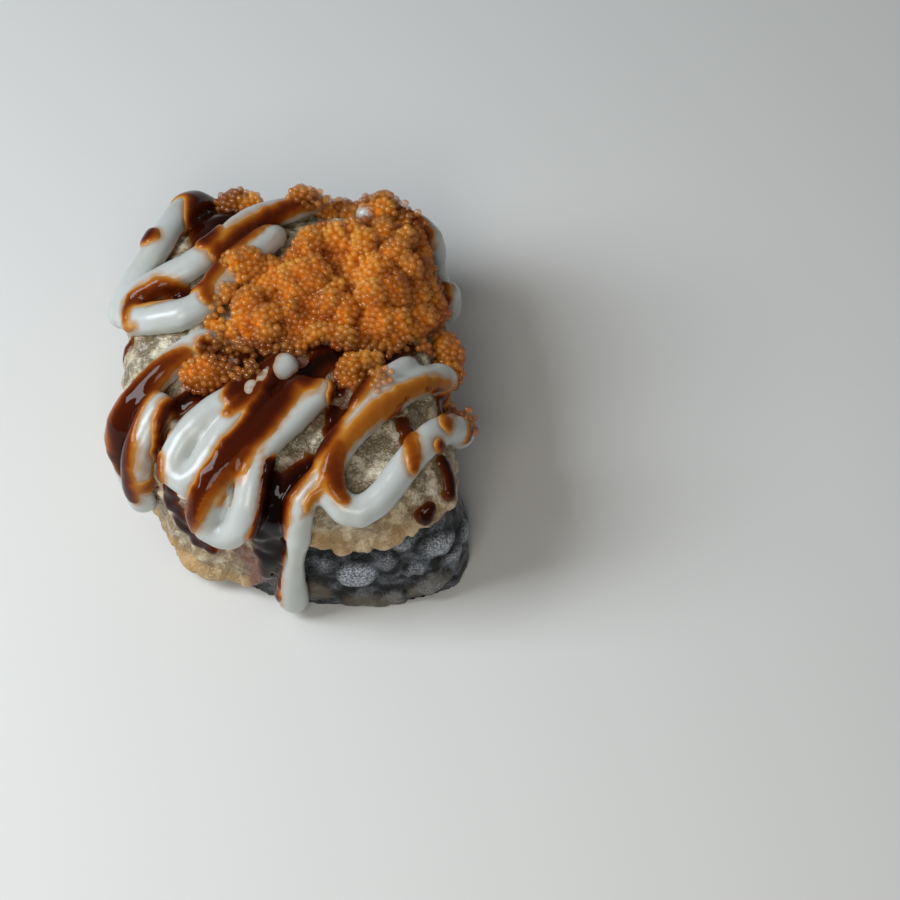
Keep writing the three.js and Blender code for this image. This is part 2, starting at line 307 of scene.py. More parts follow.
def duplicate(thing: bpy.types.Object, name: str) -> bpy.types.Object:
    """Returns a linked copy of an object with a mesh of its own."""
    copy = thing.copy()
    copy.data = thing.data.copy()
    copy.name = name
    bpy.context.scene.collection.objects.link(copy)
    return copy


def nodes_named(*names: str) -> list[bpy.types.Object]:
    """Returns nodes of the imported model."""
    return [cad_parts[name] for name in names]


def corners_of(thing: bpy.types.Object) -> np.ndarray:
    """Returns the vertex numbers of an object's triangles, one row each."""
    mesh = thing.data
    mesh.calc_loop_triangles()
    corners = np.empty(len(mesh.loop_triangles) * 3, dtype=np.int32)
    mesh.loop_triangles.foreach_get("vertices", corners)
    return corners.reshape(-1, 3)


def tree_of(thing: bpy.types.Object) -> BVHTree:
    """Makes a search tree of an object's faces, in millimetres."""
    return BVHTree.FromPolygons(coords(thing).tolist(), corners_of(thing).tolist())


def distances(tree: BVHTree, points: np.ndarray) -> np.ndarray:
    """Returns how far each place lies from the nearest face of a search tree."""
    return np.array([tree.find_nearest(place)[3] for place in points.tolist()])


def finish_piece(thing: bpy.types.Object, material: bpy.types.Material, slot: str,
                 replaced: tuple[str, ...] = ()) -> None:
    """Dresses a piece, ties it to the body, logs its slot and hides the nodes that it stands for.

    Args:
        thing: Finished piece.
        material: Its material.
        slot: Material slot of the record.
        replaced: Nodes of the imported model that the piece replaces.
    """
    thing.data.materials.clear()
    thing.data.materials.append(material)
    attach(thing, "root")
    if replaced:
        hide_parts(*replaced)
    log.info("%s: %d faces, slot %s", thing.name, len(thing.data.polygons), slot)


class Skin:
    """The outer surface of the slice, on which things are placed by their unrolled place.

    Attributes:
        underside: Upward part of a normal below which a place belongs to the underside.
        candidates: Number of nearest vertices of which the outermost one is taken.
    """

    underside: float = -0.3
    candidates: int = 6

    def __init__(self, thing: bpy.types.Object, rounds: int = 60) -> None:
        """Reads the surface of an object.

        Args:
            thing: Closed object; its underside is left out.
            rounds: Passes of smoothing that give the surface without its relief.
        """
        self.points = coords(thing)
        calm = duplicate(thing, "calm")
        relax(calm, rounds)
        self.normals = normals(calm)
        self.relief = ((self.points - coords(calm)) * self.normals).sum(axis=1)
        bpy.data.objects.remove(calm)
        shown = np.nonzero(self.normals[:, 2] > self.underside)[0]
        flat = unroll(self.points)
        self.search = KDTree(len(shown))
        for index in shown.tolist():
            self.search.insert((flat[index, 0], flat[index, 1], 0.0), index)
        self.search.balance()

    def place(self, u: float, v: float) -> tuple[np.ndarray, np.ndarray]:
        """Finds a place on the surface.

        Args:
            u: First unrolled coordinate.
            v: Second unrolled coordinate.

        Returns:
            The outermost point there and the calm normal.
        """
        found = [hit[1] for hit in self.search.find_n((u, v, 0.0), self.candidates)]
        best = max(found, key=lambda index: float(np.linalg.norm(self.points[index])))
        return self.points[best], self.normals[best]


@dataclass(frozen=True)
class Run:
    """A run of something poured or spread, on the unrolled map.

    Attributes:
        points: Places and half widths along the run.
        film: Thickness of the layer.
        tone: Depth that its colour has on top of the real one, at the start.
        tone_end: The same at the end.
    """

    points: tuple[tuple[float, float, float], ...]
    film: float = 0.5
    tone: float = 0.0
    tone_end: float | None = None

    def on(self, skin: Skin, step: float = 0.6) -> np.ndarray:
        """Lays the run on a surface.

        Args:
            skin: Surface that carries it.
            step: Spacing of the samples.

        Returns:
            Rows of x, y, z, the three parts of the normal, half width, film and tone.
        """
        line = np.array(self.points)
        for _ in range(2):
            if len(line) > 2:
                cut = np.repeat(line, 2, axis=0)
                cut[1:-2:2] = 0.75 * line[:-1] + 0.25 * line[1:]
                cut[2:-1:2] = 0.25 * line[:-1] + 0.75 * line[1:]
                line = cut
        rows = []
        for start, end in zip(line[:-1], line[1:]):
            count = max(1, math.ceil(float(np.hypot(*(end - start)[:2])) / step))
            rows += [start + (end - start) * part / count for part in range(count)]
        rows.append(line[-1])
        end_tone = self.tone if self.tone_end is None else self.tone_end
        tones = np.linspace(self.tone, end_tone, len(rows))
        return np.array([[*np.concatenate(skin.place(u, v)), width, self.film, tone]
                         for (u, v, width), tone in zip(rows, tones)])


def run_field(points: np.ndarray, samples: np.ndarray) -> tuple[np.ndarray, np.ndarray]:
    """Measures how deep inside the runs each place lies, mostly along the surface.

    Args:
        points: Places in millimetres, one row each.
        samples: Rows as a run gives them.

    Returns:
        Distance inside the nearest edge (negative outside), and the film and tone there.
    """
    inside = np.full(len(points), -99.0)
    layer = np.zeros((len(points), 2))
    for sample in samples:
        offset = points - sample[:3]
        rise = offset @ sample[3:6]
        reach = sample[6] - np.sqrt((offset * offset).sum(axis=1) - ACROSS * rise * rise)
        closer = reach > inside
        inside[closer] = reach[closer]
        layer[closer] = sample[7:]
    return inside, layer


def settle(height: np.ndarray, edges: np.ndarray, rounds: int) -> np.ndarray:
    """Lets a sheet of liquid settle over a relief: it spans the dips and never sinks into the rest.

    Args:
        height: Height of the relief at each vertex.
        edges: Pairs of neighbouring vertices.
        rounds: Number of passes.

    Returns:
        Height of the sheet at each vertex.
    """
    size = len(height)
    first, second = edges[:, 0], edges[:, 1]
    count = np.bincount(edges.ravel(), minlength=size)
    level = height.copy()
    for _ in range(rounds):
        total = np.bincount(first, level[second], size) + np.bincount(second, level[first], size)
        level = np.maximum(height, total / count)
    return level


# Finishes ------------------------------------------------------------------------------------


@dataclass(frozen=True)
class NoriFinish:
    """Roasted seaweed sheet, fried: near black, with a dusty skin of thin batter in patches."""

    leaf: str = "#08090a"
    dust: str = "#42474d"
    frost: str = "#c6ccd4"
    batter: str = "#6e6452"
    patch_size: float = 3.0
    grain_size: float = 0.3

    def material(self) -> bpy.types.Material:
        """Returns the node material."""
        material, tree = blank_material("nori_sheet")
        place = add_node(tree, "ShaderNodeTexCoord").outputs["Object"]
        frost = add_node(tree, "ShaderNodeAttribute", {"attribute_name": "frost"})
        batter = add_node(tree, "ShaderNodeAttribute", {"attribute_name": "film"})
        patch = add_node(tree, "ShaderNodeTexNoise",
                         {"Scale": 1 / (self.patch_size * MM), "Detail": 4.0, "Roughness": 0.6},
                         {"Vector": place})
        grain = add_node(tree, "ShaderNodeTexNoise",
                         {"Scale": 1 / (self.grain_size * MM), "Detail": 1.0}, {"Vector": place})
        bloom = add_node(tree, "ShaderNodeMapRange", {"From Min": 0.46, "From Max": 0.7},
                         {"Value": patch.outputs["Fac"]})
        leaf = add_node(tree, "ShaderNodeMix",
                        {"data_type": "RGBA", MIX_A: to_linear(self.leaf),
                         MIX_B: to_linear(self.dust)}, {0: bloom.outputs["Result"]})
        cover = add_node(tree, "ShaderNodeMath", {"operation": "MULTIPLY", 1: 0.8},
                         {0: batter.outputs["Fac"]})
        fried = add_node(tree, "ShaderNodeMix", {"data_type": "RGBA", MIX_B: to_linear(self.batter)},
                         {0: cover.outputs[0], MIX_A: leaf.outputs[MIX_OUT]})
        speck = add_node(tree, "ShaderNodeMapRange",
                         {"From Min": 0.42, "From Max": 0.64, "To Min": 0.25, "To Max": 1.0},
                         {"Value": grain.outputs["Fac"]})
        around = add_node(tree, "ShaderNodeMath", {"operation": "MULTIPLY_ADD", 1: 0.3},
                          {0: bloom.outputs["Result"], 2: frost.outputs["Fac"]})
        white = add_node(tree, "ShaderNodeMath", {"operation": "MULTIPLY", "use_clamp": True},
                         {0: around.outputs[0], 1: speck.outputs["Result"]})
        colour = add_node(tree, "ShaderNodeMix", {"data_type": "RGBA", MIX_B: to_linear(self.frost)},
                          {0: white.outputs[0], MIX_A: fried.outputs[MIX_OUT]})
        bump = add_node(tree, "ShaderNodeBump", {"Strength": 0.8, "Distance": 0.3 * MM},
                        {"Height": grain.outputs["Fac"]})
        shader = add_node(tree, "ShaderNodeBsdfPrincipled",
                          {"Roughness": 0.3, "Specular IOR Level": 0.2},
                          {"Base Color": colour.outputs[MIX_OUT], "Normal": bump.outputs["Normal"]})
        add_node(tree, "ShaderNodeOutputMaterial", None, {"Surface": shader.outputs["BSDF"]})
        return material


@dataclass(frozen=True)
class BatterFinish:
    """Fried tempura batter: translucent, oily and grey gold, with sugary flecks in its grain."""

    thin: str = "#7a6c50"
    crease: str = "#b2a588"
    body: str = "#dad0b8"
    crest: str = "#f5f1e8"
    fleck: str = "#f8f4e8"
    fried: str = "#b98f52"
    soaked: str = "#6e3408"
    grain_size: float = 0.4

    def material(self) -> bpy.types.Material:
        """Returns the node material."""
        material, tree = blank_material("tempura_batter")
        place = add_node(tree, "ShaderNodeTexCoord").outputs["Object"]
        crest = add_node(tree, "ShaderNodeAttribute", {"attribute_name": "crest"})
        stain = add_node(tree, "ShaderNodeAttribute", {"attribute_name": "stain"})
        fried = add_node(tree, "ShaderNodeAttribute", {"attribute_name": "fried"})
        tone = add_node(tree, "ShaderNodeTexNoise",
                        {"Scale": 1 / (3 * MM), "Detail": 4.0, "Roughness": 0.6}, {"Vector": place})
        fine = add_node(tree, "ShaderNodeTexNoise",
                        {"Scale": 1 / (self.grain_size * MM), "Detail": 1.0}, {"Vector": place})
        drift = add_node(tree, "ShaderNodeMath", {"operation": "MULTIPLY_ADD", 1: 2.6, 2: -1.42},
                         {0: tone.outputs["Fac"]})
        level = add_node(tree, "ShaderNodeMath", {"operation": "ADD", "use_clamp": True},
                         {0: crest.outputs["Fac"], 1: drift.outputs[0]})
        colour = add_node(tree, "ShaderNodeValToRGB",
                          {"stops": ((0.0, self.thin), (0.22, self.crease), (0.6, self.body),
                                     (1.0, self.crest))}, {"Fac": level.outputs[0]})
        flecks = add_node(tree, "ShaderNodeMapRange",
                          {"From Min": 0.54, "From Max": 0.74, "To Min": 0.0, "To Max": 0.36},
                          {"Value": fine.outputs["Fac"]})
        sugar = add_node(tree, "ShaderNodeMix", {"data_type": "RGBA", MIX_B: to_linear(self.fleck)},
                         {0: flecks.outputs["Result"], MIX_A: colour.outputs["Color"]})
        browned = add_node(tree, "ShaderNodeMix", {"data_type": "RGBA", MIX_B: to_linear(self.fried)},
                           {0: fried.outputs["Fac"], MIX_A: sugar.outputs[MIX_OUT]})
        soaked = add_node(tree, "ShaderNodeMix",
                          {"data_type": "RGBA", MIX_B: to_linear(self.soaked)},
                          {0: stain.outputs["Fac"], MIX_A: browned.outputs[MIX_OUT]})
        soft = add_node(tree, "ShaderNodeBump", {"Strength": 0.5, "Distance": 0.5 * MM},
                        {"Height": fine.outputs["Fac"]})
        crisp = add_node(tree, "ShaderNodeBump", {"Strength": 0.9, "Distance": 0.9 * MM},
                         {"Height": fine.outputs["Fac"]})
        shader = add_node(tree, "ShaderNodeBsdfPrincipled",
                          {"Roughness": 0.28, "Subsurface Weight": 0.4,
                           "Subsurface Radius": (1.2, 1.0, 0.7), "Subsurface Scale": MM,
                           "Coat Weight": 0.5, "Coat Roughness": 0.14},
                          {"Base Color": soaked.outputs[MIX_OUT], "Normal": soft.outputs["Normal"],
                           "Coat Normal": crisp.outputs["Normal"]})
        add_node(tree, "ShaderNodeOutputMaterial", None, {"Surface": shader.outputs["BSDF"]})
        return material


@dataclass(frozen=True)
class MayonnaiseFinish:
    """Piped mayonnaise: a soft white emulsion with a satin skin, tinted where glaze runs off it."""

    cream: str = "#c1c8c8"
    hollow: str = "#b6b4a8"
    tinted: str = "#b0793a"

    def material(self) -> bpy.types.Material:
        """Returns the node material."""
        material, tree = blank_material("mayonnaise")
        place = add_node(tree, "ShaderNodeTexCoord").outputs["Object"]
        stain = add_node(tree, "ShaderNodeAttribute", {"attribute_name": "stain"})
        tone = add_node(tree, "ShaderNodeTexNoise", {"Scale": 1 / (6 * MM), "Detail": 2.0},
                        {"Vector": place})
        cream = add_node(tree, "ShaderNodeMix",
                         {"data_type": "RGBA", MIX_A: to_linear(self.cream),
                          MIX_B: to_linear(self.hollow)}, {0: tone.outputs["Fac"]})
        colour = add_node(tree, "ShaderNodeMix",
                          {"data_type": "RGBA", MIX_B: to_linear(self.tinted)},
                          {0: stain.outputs["Fac"], MIX_A: cream.outputs[MIX_OUT]})
        bump = add_node(tree, "ShaderNodeBump", {"Strength": 0.12, "Distance": 0.2 * MM},
                        {"Height": tone.outputs["Fac"]})
        shader = add_node(tree, "ShaderNodeBsdfPrincipled",
                          {"Roughness": 0.3, "Subsurface Weight": 0.45,
                           "Subsurface Radius": (1.2, 1.0, 0.75), "Subsurface Scale": MM,
                           "Coat Weight": 0.15, "Coat Roughness": 0.15},
                          {"Base Color": colour.outputs[MIX_OUT], "Normal": bump.outputs["Normal"]})
        add_node(tree, "ShaderNodeOutputMaterial", None, {"Surface": shader.outputs["BSDF"]})
        return material


@dataclass(frozen=True)
class GlazeFinish:
    """Thick sweet soy glaze: glass smooth, amber where thin on white and near black in a pool."""

    over_white: tuple[tuple[float, str], ...] = (
        (0.0, "#c89c60"), (0.08, "#b06e24"), (0.17, "#8c460e"), (0.27, "#682a08"),
        (0.42, "#461503"), (0.65, "#2a0a02"), (1.0, "#140400"))
    over_crust: tuple[tuple[float, str], ...] = (
        (0.0, "#6a3f14"), (0.12, "#521e04"), (0.30, "#340c00"), (0.6, "#180400"), (1.0, "#0b0200"))
    deepest: float = 3.0

    def material(self) -> bpy.types.Material:
        """Returns the node material."""
        material, tree = blank_material("soy_glaze")
        depth = add_node(tree, "ShaderNodeAttribute", {"attribute_name": "depth"})
        white = add_node(tree, "ShaderNodeAttribute", {"attribute_name": "over_white"})
        share = add_node(tree, "ShaderNodeMath", {"operation": "DIVIDE", 1: self.deepest},
                         {0: depth.outputs["Fac"]})
        light = add_node(tree, "ShaderNodeValToRGB", {"stops": self.over_white},
                         {"Fac": share.outputs[0]})
        dark = add_node(tree, "ShaderNodeValToRGB", {"stops": self.over_crust},
                        {"Fac": share.outputs[0]})
        colour = add_node(tree, "ShaderNodeMix", {"data_type": "RGBA"},
                          {0: white.outputs["Fac"], MIX_A: dark.outputs["Color"],
                           MIX_B: light.outputs["Color"]})
        shader = add_node(tree, "ShaderNodeBsdfPrincipled",
                          {"Roughness": 0.05, "IOR": 1.38, "Specular IOR Level": 0.27},
                          {"Base Color": colour.outputs[MIX_OUT]})
        add_node(tree, "ShaderNodeOutputMaterial", None, {"Surface": shader.outputs["BSDF"]})
        return material


@dataclass(frozen=True)
class RoeFinish:
    """Masago: wet, see-through eggs, gold on the crests from a painted highlight, red brown down in the
    clumps from painted shade, and red brown where glaze soaked in.
    """

    name: str = "masago_eggs"
    dull: str = "#ee7e18"
    # The bright colour is random tone and also a painted highlight on eggs that stand proud.
    bright: str = "#ffb644"
    # The soaked colour marks glaze that soaked in and is also painted shade on eggs down in crevices.
    soaked: str = "#8a3e08"
    body: float = 0.38
    wetness: float = 0.045

    def material(self) -> bpy.types.Material:
        """Returns the node material."""
        material, tree = blank_material(self.name)
        tint = add_node(tree, "ShaderNodeAttribute", {"attribute_name": "tint"})
        soak = add_node(tree, "ShaderNodeAttribute", {"attribute_name": "soak"})
        # Mix towards the bright colour: random tone plus a painted highlight on eggs that stand proud.
        fresh = add_node(tree, "ShaderNodeMix",
                         {"data_type": "RGBA", MIX_A: to_linear(self.dull),
                          MIX_B: to_linear(self.bright)}, {0: tint.outputs["Fac"]})
        # Soaked colour where glaze soaked in, and painted shade on eggs down in the crevices.
        colour = add_node(tree, "ShaderNodeMix",
                          {"data_type": "RGBA", MIX_B: to_linear(self.soaked)},
                          {0: soak.outputs["Fac"], MIX_A: fresh.outputs[MIX_OUT]})
        flesh = add_node(tree, "ShaderNodeBsdfPrincipled",
                         {"Roughness": 0.2, "IOR": 1.3, "Specular IOR Level": 0.1,
                          "Subsurface Weight": 0.3, "Subsurface Radius": (0.8, 0.4, 0.12),
                          "Subsurface Scale": MM, "Alpha": self.body},
                         {"Base Color": colour.outputs[MIX_OUT]})
        wet = add_node(tree, "ShaderNodeBsdfAnisotropic", {"Roughness": 0.12})
        shader = add_node(tree, "ShaderNodeMixShader", {0: self.wetness},
                          {1: flesh.outputs["BSDF"], 2: wet.outputs["BSDF"]})
        add_node(tree, "ShaderNodeOutputMaterial", None, {"Surface": shader.outputs["Shader"]})
        return material


@dataclass(frozen=True)
class BackdropFinish:
    """Plain painted floor, pale and without gloss."""

    paint: str = "#dfded9"

    def material(self) -> bpy.types.Material:
        """Returns the node material."""
        material, tree = blank_material("painted_floor")
        shader = add_node(tree, "ShaderNodeBsdfPrincipled",
                          {"Base Color": to_linear(self.paint), "Roughness": 0.9})
        add_node(tree, "ShaderNodeOutputMaterial", None, {"Surface": shader.outputs["BSDF"]})
        return material


# Pieces --------------------------------------------------------------------------------------


@dataclass(frozen=True)
class Blister:
    """A flat dome that sits on a surface.

    Attributes:
        u: First unrolled coordinate.
        v: Second unrolled coordinate.
        radius: Its radius along the surface.
        height: How far it stands out.
        frost: How white and dry it fried, from 0 to 1.
        ragged: How far its edge wanders, in millimetres.
    """

    u: float
    v: float
    radius: float
    height: float
    frost: float = 0.0
    ragged: float = 0.9

    def add(self, build: bmesh.types.BMesh, skin: Skin) -> None:
        """Adds the dome as a flattened ball.

        Args:
            build: Bmesh in metres that takes it.
            skin: Surface that carries it.
        """
        point, facing = skin.place(self.u, self.v)
        ball = bmesh.ops.create_icosphere(build, subdivisions=3, radius=self.radius * MM)
        bmesh.ops.scale(build, vec=(1.0, 1.0, self.height / self.radius), verts=ball["verts"])
        turn = Vector(facing).to_track_quat("Z", "Y").to_matrix()
        bmesh.ops.rotate(build, matrix=turn, verts=ball["verts"])
        bmesh.ops.translate(build, vec=Vector(point) * MM, verts=ball["verts"])


def add_domes(thing: bpy.types.Object, domes: tuple[Blister, ...], skin: Skin) -> None:
    """Adds domes to an object's mesh.

    Args:
        thing: Object that takes them.
        domes: The domes.
        skin: Surface that carries them.
    """
    build = bmesh.new()
    build.from_mesh(thing.data)
    for dome in domes:
        dome.add(build, skin)
    build.to_mesh(thing.data)
    build.free()


@dataclass
class NoriRoll:
    """The rolled seaweed with its filling, a solid slice whose flank shows under the crust.

    Attributes:
        voxel: Fineness of the skin.
        wrinkle: Height of the sheet's wrinkles.
        wrinkle_size: Their width.
        ragged_size: Width of the bays in the edges of the films.
        films: Thin batter that fried on the sheet below the crust.
    """

    voxel: float = 0.4
    wrinkle: float = 0.22
    wrinkle_size: float = 3.0
    ragged_size: float = 2.6
    films: tuple[Blister, ...] = (
        Blister(15.7, -46.8, 3.3, 1.3, 1.0, 0.2), Blister(31.9, -37.9, 2.9, 1.0, 0.9),
        Blister(23.3, -37.6, 2.4, 0.8, 0.6), Blister(21.3, -43.2, 2.2, 0.7, 0.45),
        Blister(29.6, -44.4, 2.0, 0.6, 0.5), Blister(39.2, -39.6, 2.2, 0.6, 0.5),
        Blister(8.8, -44.8, 2.0, 0.5, 0.3), Blister(36.8, -46.2, 3.0, 0.9, 0.15),
        Blister(33.0, -49.0, 2.4, 0.6, 0.1), Blister(7.2, -52.6, 3.0, 0.5, 0.0),
        Blister(20.5, -55.5, 3.4, 0.4, 0.05), Blister(27.5, -53.0, 2.8, 0.5, 0.1),
        Blister(41.5, -33.0, 2.4, 0.7, 0.7), Blister(47.0, -27.0, 2.6, 0.8, 0.8),
        Blister(44.0, -14.0, 2.3, 0.7, 0.6), Blister(50.0, -6.0, 2.8, 0.9, 0.9),
        Blister(-32.0, -38.0, 2.6, 0.8, 0.8), Blister(-46.0, -20.0, 2.4, 0.7, 0.6),
        Blister(-50.0, 4.0, 2.8, 0.9, 0.9), Blister(-40.0, 30.0, 2.5, 0.7, 0.6),
        Blister(-16.0, 48.0, 2.8, 0.9, 0.9), Blister(4.0, 52.0, 2.3, 0.6, 0.5),
        Blister(24.0, 46.0, 2.8, 0.9, 0.8), Blister(44.0, 24.0, 2.6, 0.8, 0.8))

    def build(self) -> bpy.types.Object:
        """Makes the roll with its wrinkled sheet.

        Returns:
            The finished piece.
        """
        roll = join_copies("nori_wrap", nodes_named("nori_roll"))
        remesh(roll, self.voxel)
        skin = Skin(roll)
        points = coords(roll)
        facing = normals(roll)
        side = smoothstep(np.abs(facing[:, 2]), 0.9, 0.5)
        lift = self.wrinkle * fractal(points, self.wrinkle_size, 4)
        bends = wander(points, self.ragged_size, 3, (33.0, 37.0, 39.0))
        frost = np.zeros(len(points))
        film = np.zeros(len(points))
        for patch in self.films:
            offset = points + patch.ragged * bends - skin.place(patch.u, patch.v)[0]
            away = np.linalg.norm(offset, axis=1) / patch.radius
            lift += patch.height * np.sqrt(np.clip(1.0 - away * away, 0.0, 1.0))
            cover = smoothstep(away, 1.05 + 0.15 * patch.ragged, 0.8 - 0.5 * patch.ragged)
            frost = np.maximum(frost, cover * patch.frost)
            film = np.maximum(film, cover * smoothstep(0.3 - patch.frost, 0.0, 0.2))
        set_coords(roll, points + facing * (lift * side)[:, None])
        store(roll, "frost", frost)
        store(roll, "film", film)
        finish_piece(roll, NoriFinish().material(), "nori", ("nori_roll",))
        return roll


@dataclass
class BatterCoat:
    """The fried crust over the crown, with its ragged, rolled hem.

    Attributes:
        voxel: Fineness of the skin.
        large: Height of the large bubbles on the crown.
        large_size: Their width.
        small: Height of the small bubbles.
        small_size: Their width.
        side_gain: How much higher the large bubbles stand on the side.
        grain: Height of the crumbs.
        grain_size: Their width.
        bend_size: Width of the bends that keep the bubbles uneven.
        lip: How far the hem rolls out.
        edge_stain: How dark the crust is beside the glaze, from 0 to 1.
        deep_stain: How dark it is where glaze soaked in.
    """

    voxel: float = 0.42
    large: float = 0.75
    large_size: float = 4.4
    small: float = 0.36
    small_size: float = 2.1
    side_gain: float = 0.7
    grain: float = 0.1
    grain_size: float = 1.3
    bend_size: float = 5.0
    lip: float = 1.2
    edge_stain: float = 0.8
    deep_stain: float = 0.95

    def build(self, roll: bpy.types.Object) -> bpy.types.Object:
        """Makes the crust.

        Args:
            roll: The roll that it covers.

        Returns:
            The piece, without its material.
        """
        coat = join_copies("batter_crust", nodes_named("batter_coat"))
        remesh(coat, self.voxel)
        self.shape(coat, tree_of(roll))
        return coat

    def shape(self, coat: bpy.types.Object, roll: BVHTree) -> None:
        """Raises the bubbles, roughens the hem and sinks the inner wall into the roll.

        Args:
            coat: Even copy of the crust.
            roll: Faces of the roll.
        """
        relax(coat, 4)
        points = coords(coat)
        facing = normals(coat)
        outer = smoothstep(distances(roll, points), 0.7, 1.6)
        warp = points + wander(points, self.bend_size, 2, (3.0, 7.0, 11.0))
        big = pebbles(warp, self.large_size)
        little = pebbles(warp, self.small_size, 5.0)
        grain = fractal(points, self.grain_size, 3, 9.0)
        side = smoothstep(points[:, 2], RIM_LEVEL, RIM_LEVEL - 7.0)
        large = self.large * (1.0 + self.side_gain * side)
        height = (large * (big - 0.75) + self.small * (little - 0.7) + self.grain * grain) * outer
        height += 0.35 * (1.0 - outer)
        above = points[:, 2] - self.hem(points)
        height += self.lip * np.exp(-((above - 1.0) / 1.3) ** 2) * outer
        set_coords(coat, points + facing * height[:, None])
        relax(coat, 1, 0.4)
        store(coat, "crest", np.clip(0.15 + 0.55 * big * little + 0.25 * grain, 0.0, 1.0))
        gold = 0.4 * fractal(points, 8.0, 3, 51.0) + 0.3 * np.exp(-((above - 1.0) / 2.6) ** 2)
        store(coat, "fried", np.clip(gold + 0.02 + 0.3 * side, 0.0, 0.8))

    def hem(self, points: np.ndarray) -> np.ndarray:
        """Finds the height of the crust's lower edge, in the direction of each place.

        Args:
            points: Places on the crust.

        Returns:
            One height for each place.
        """
        sectors = 120
        turn = np.arctan2(points[:, 1], points[:, 0]) / (2 * np.pi) % 1.0 * sectors
        low = np.full(sectors, RIM_LEVEL)
        np.minimum.at(low, turn.astype(int) % sectors, points[:, 2])
        return np.interp(turn, np.arange(-1, sectors + 2), np.concatenate([low[-1:], low, low[:2]]))

    def dress(self, coat: bpy.types.Object, glaze: np.ndarray, stains: np.ndarray) -> None:
        """Soaks the crust beside the glaze and gives it its finish.

        Args:
            coat: The crust.
            glaze: Samples of the runs of glaze.
            stains: Samples of the runs that soaked in.
        """
        points = coords(coat)
        uneven = fractal(points, 2.2, 3, 21.0)
        near = run_field(points, glaze)[0] + 0.9 * uneven
        soaked = run_field(points, stains)[0] + 1.1 * uneven
        beside = self.edge_stain * smoothstep(near, -0.9, 0.3)
        deep = self.deep_stain * smoothstep(soaked, -0.6, 1.2)
        store(coat, "stain", np.maximum(beside, deep))
        finish_piece(coat, BatterFinish().material(), "batter", ("batter_coat",))


@dataclass
class MayonnaiseLines:
    """The piped mayonnaise: zigzag lines that lie over the crown and hang down the side.

    Attributes:
        voxel: Fineness of the skin.
        swell: How much each line is thickened.
        sink: How far its underside reaches down into the crust.
        softness: Passes of smoothing that round the lines.
        nodes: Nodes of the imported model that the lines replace.
        webs: Mayonnaise that closes the narrow loops.
    """

    voxel: float = 0.34
    swell: float = 0.3
    sink: float = 0.6
    softness: int = 44
    nodes: tuple[str, ...] = ("mayo_back_left", "mayo_left", "mayo_front_left",
                              "mayo_front_right", "mayo_back")
    webs: tuple[Blister, ...] = (
        Blister(-11.4, -17.5, 1.3, 1.9), Blister(-12.4, -19.0, 1.5, 2.1),
        Blister(-13.0, -20.8, 1.5, 2.1), Blister(-13.4, -22.4, 1.3, 1.9),
        Blister(-9.3, -27.4, 1.6, 1.0), Blister(-9.6, -29.0, 1.6, 1.0),
        Blister(-9.9, -30.6, 1.6, 1.0))

    def build(self, coat: bpy.types.Object) -> bpy.types.Object:
        """Makes the lines round and soft.

        Args:
            coat: The crust under them.

        Returns:
            The piece, without its material.
        """
        lines = join_copies("mayonnaise_lines", nodes_named(*self.nodes))
        add_domes(lines, self.webs, Skin(coat))
        remesh(lines, self.voxel)
        relax(lines, self.softness)
        points = coords(lines)
        crust = tree_of(nodes_named("batter_coat")[0])
        under = smoothstep(distances(crust, points), 1.3, 0.5)
        lift = self.swell + self.sink * under + 0.14 * fractal(points, 5.0, 2, 2.0)
        set_coords(lines, points + normals(lines) * lift[:, None])
        relax(lines, 3)
        return lines

    def dress(self, lines: bpy.types.Object, glaze: np.ndarray, clear: np.ndarray) -> None:
        """Tints the lines beside the glaze and gives them their finish.

        Args:
            lines: The mayonnaise.
            glaze: Samples of the runs of glaze.
            clear: Samples of the stretches that stay clean.
        """
        points = coords(lines)
        near = np.minimum(run_field(points, glaze)[0], -run_field(points, clear)[0])
        near += 0.3 * fractal(points, 2.5, 2, 31.0)
        store(lines, "stain", 0.75 * smoothstep(near, -0.8, 0.1))
        finish_piece(lines, MayonnaiseFinish().material(), "mayonnaise", self.nodes)


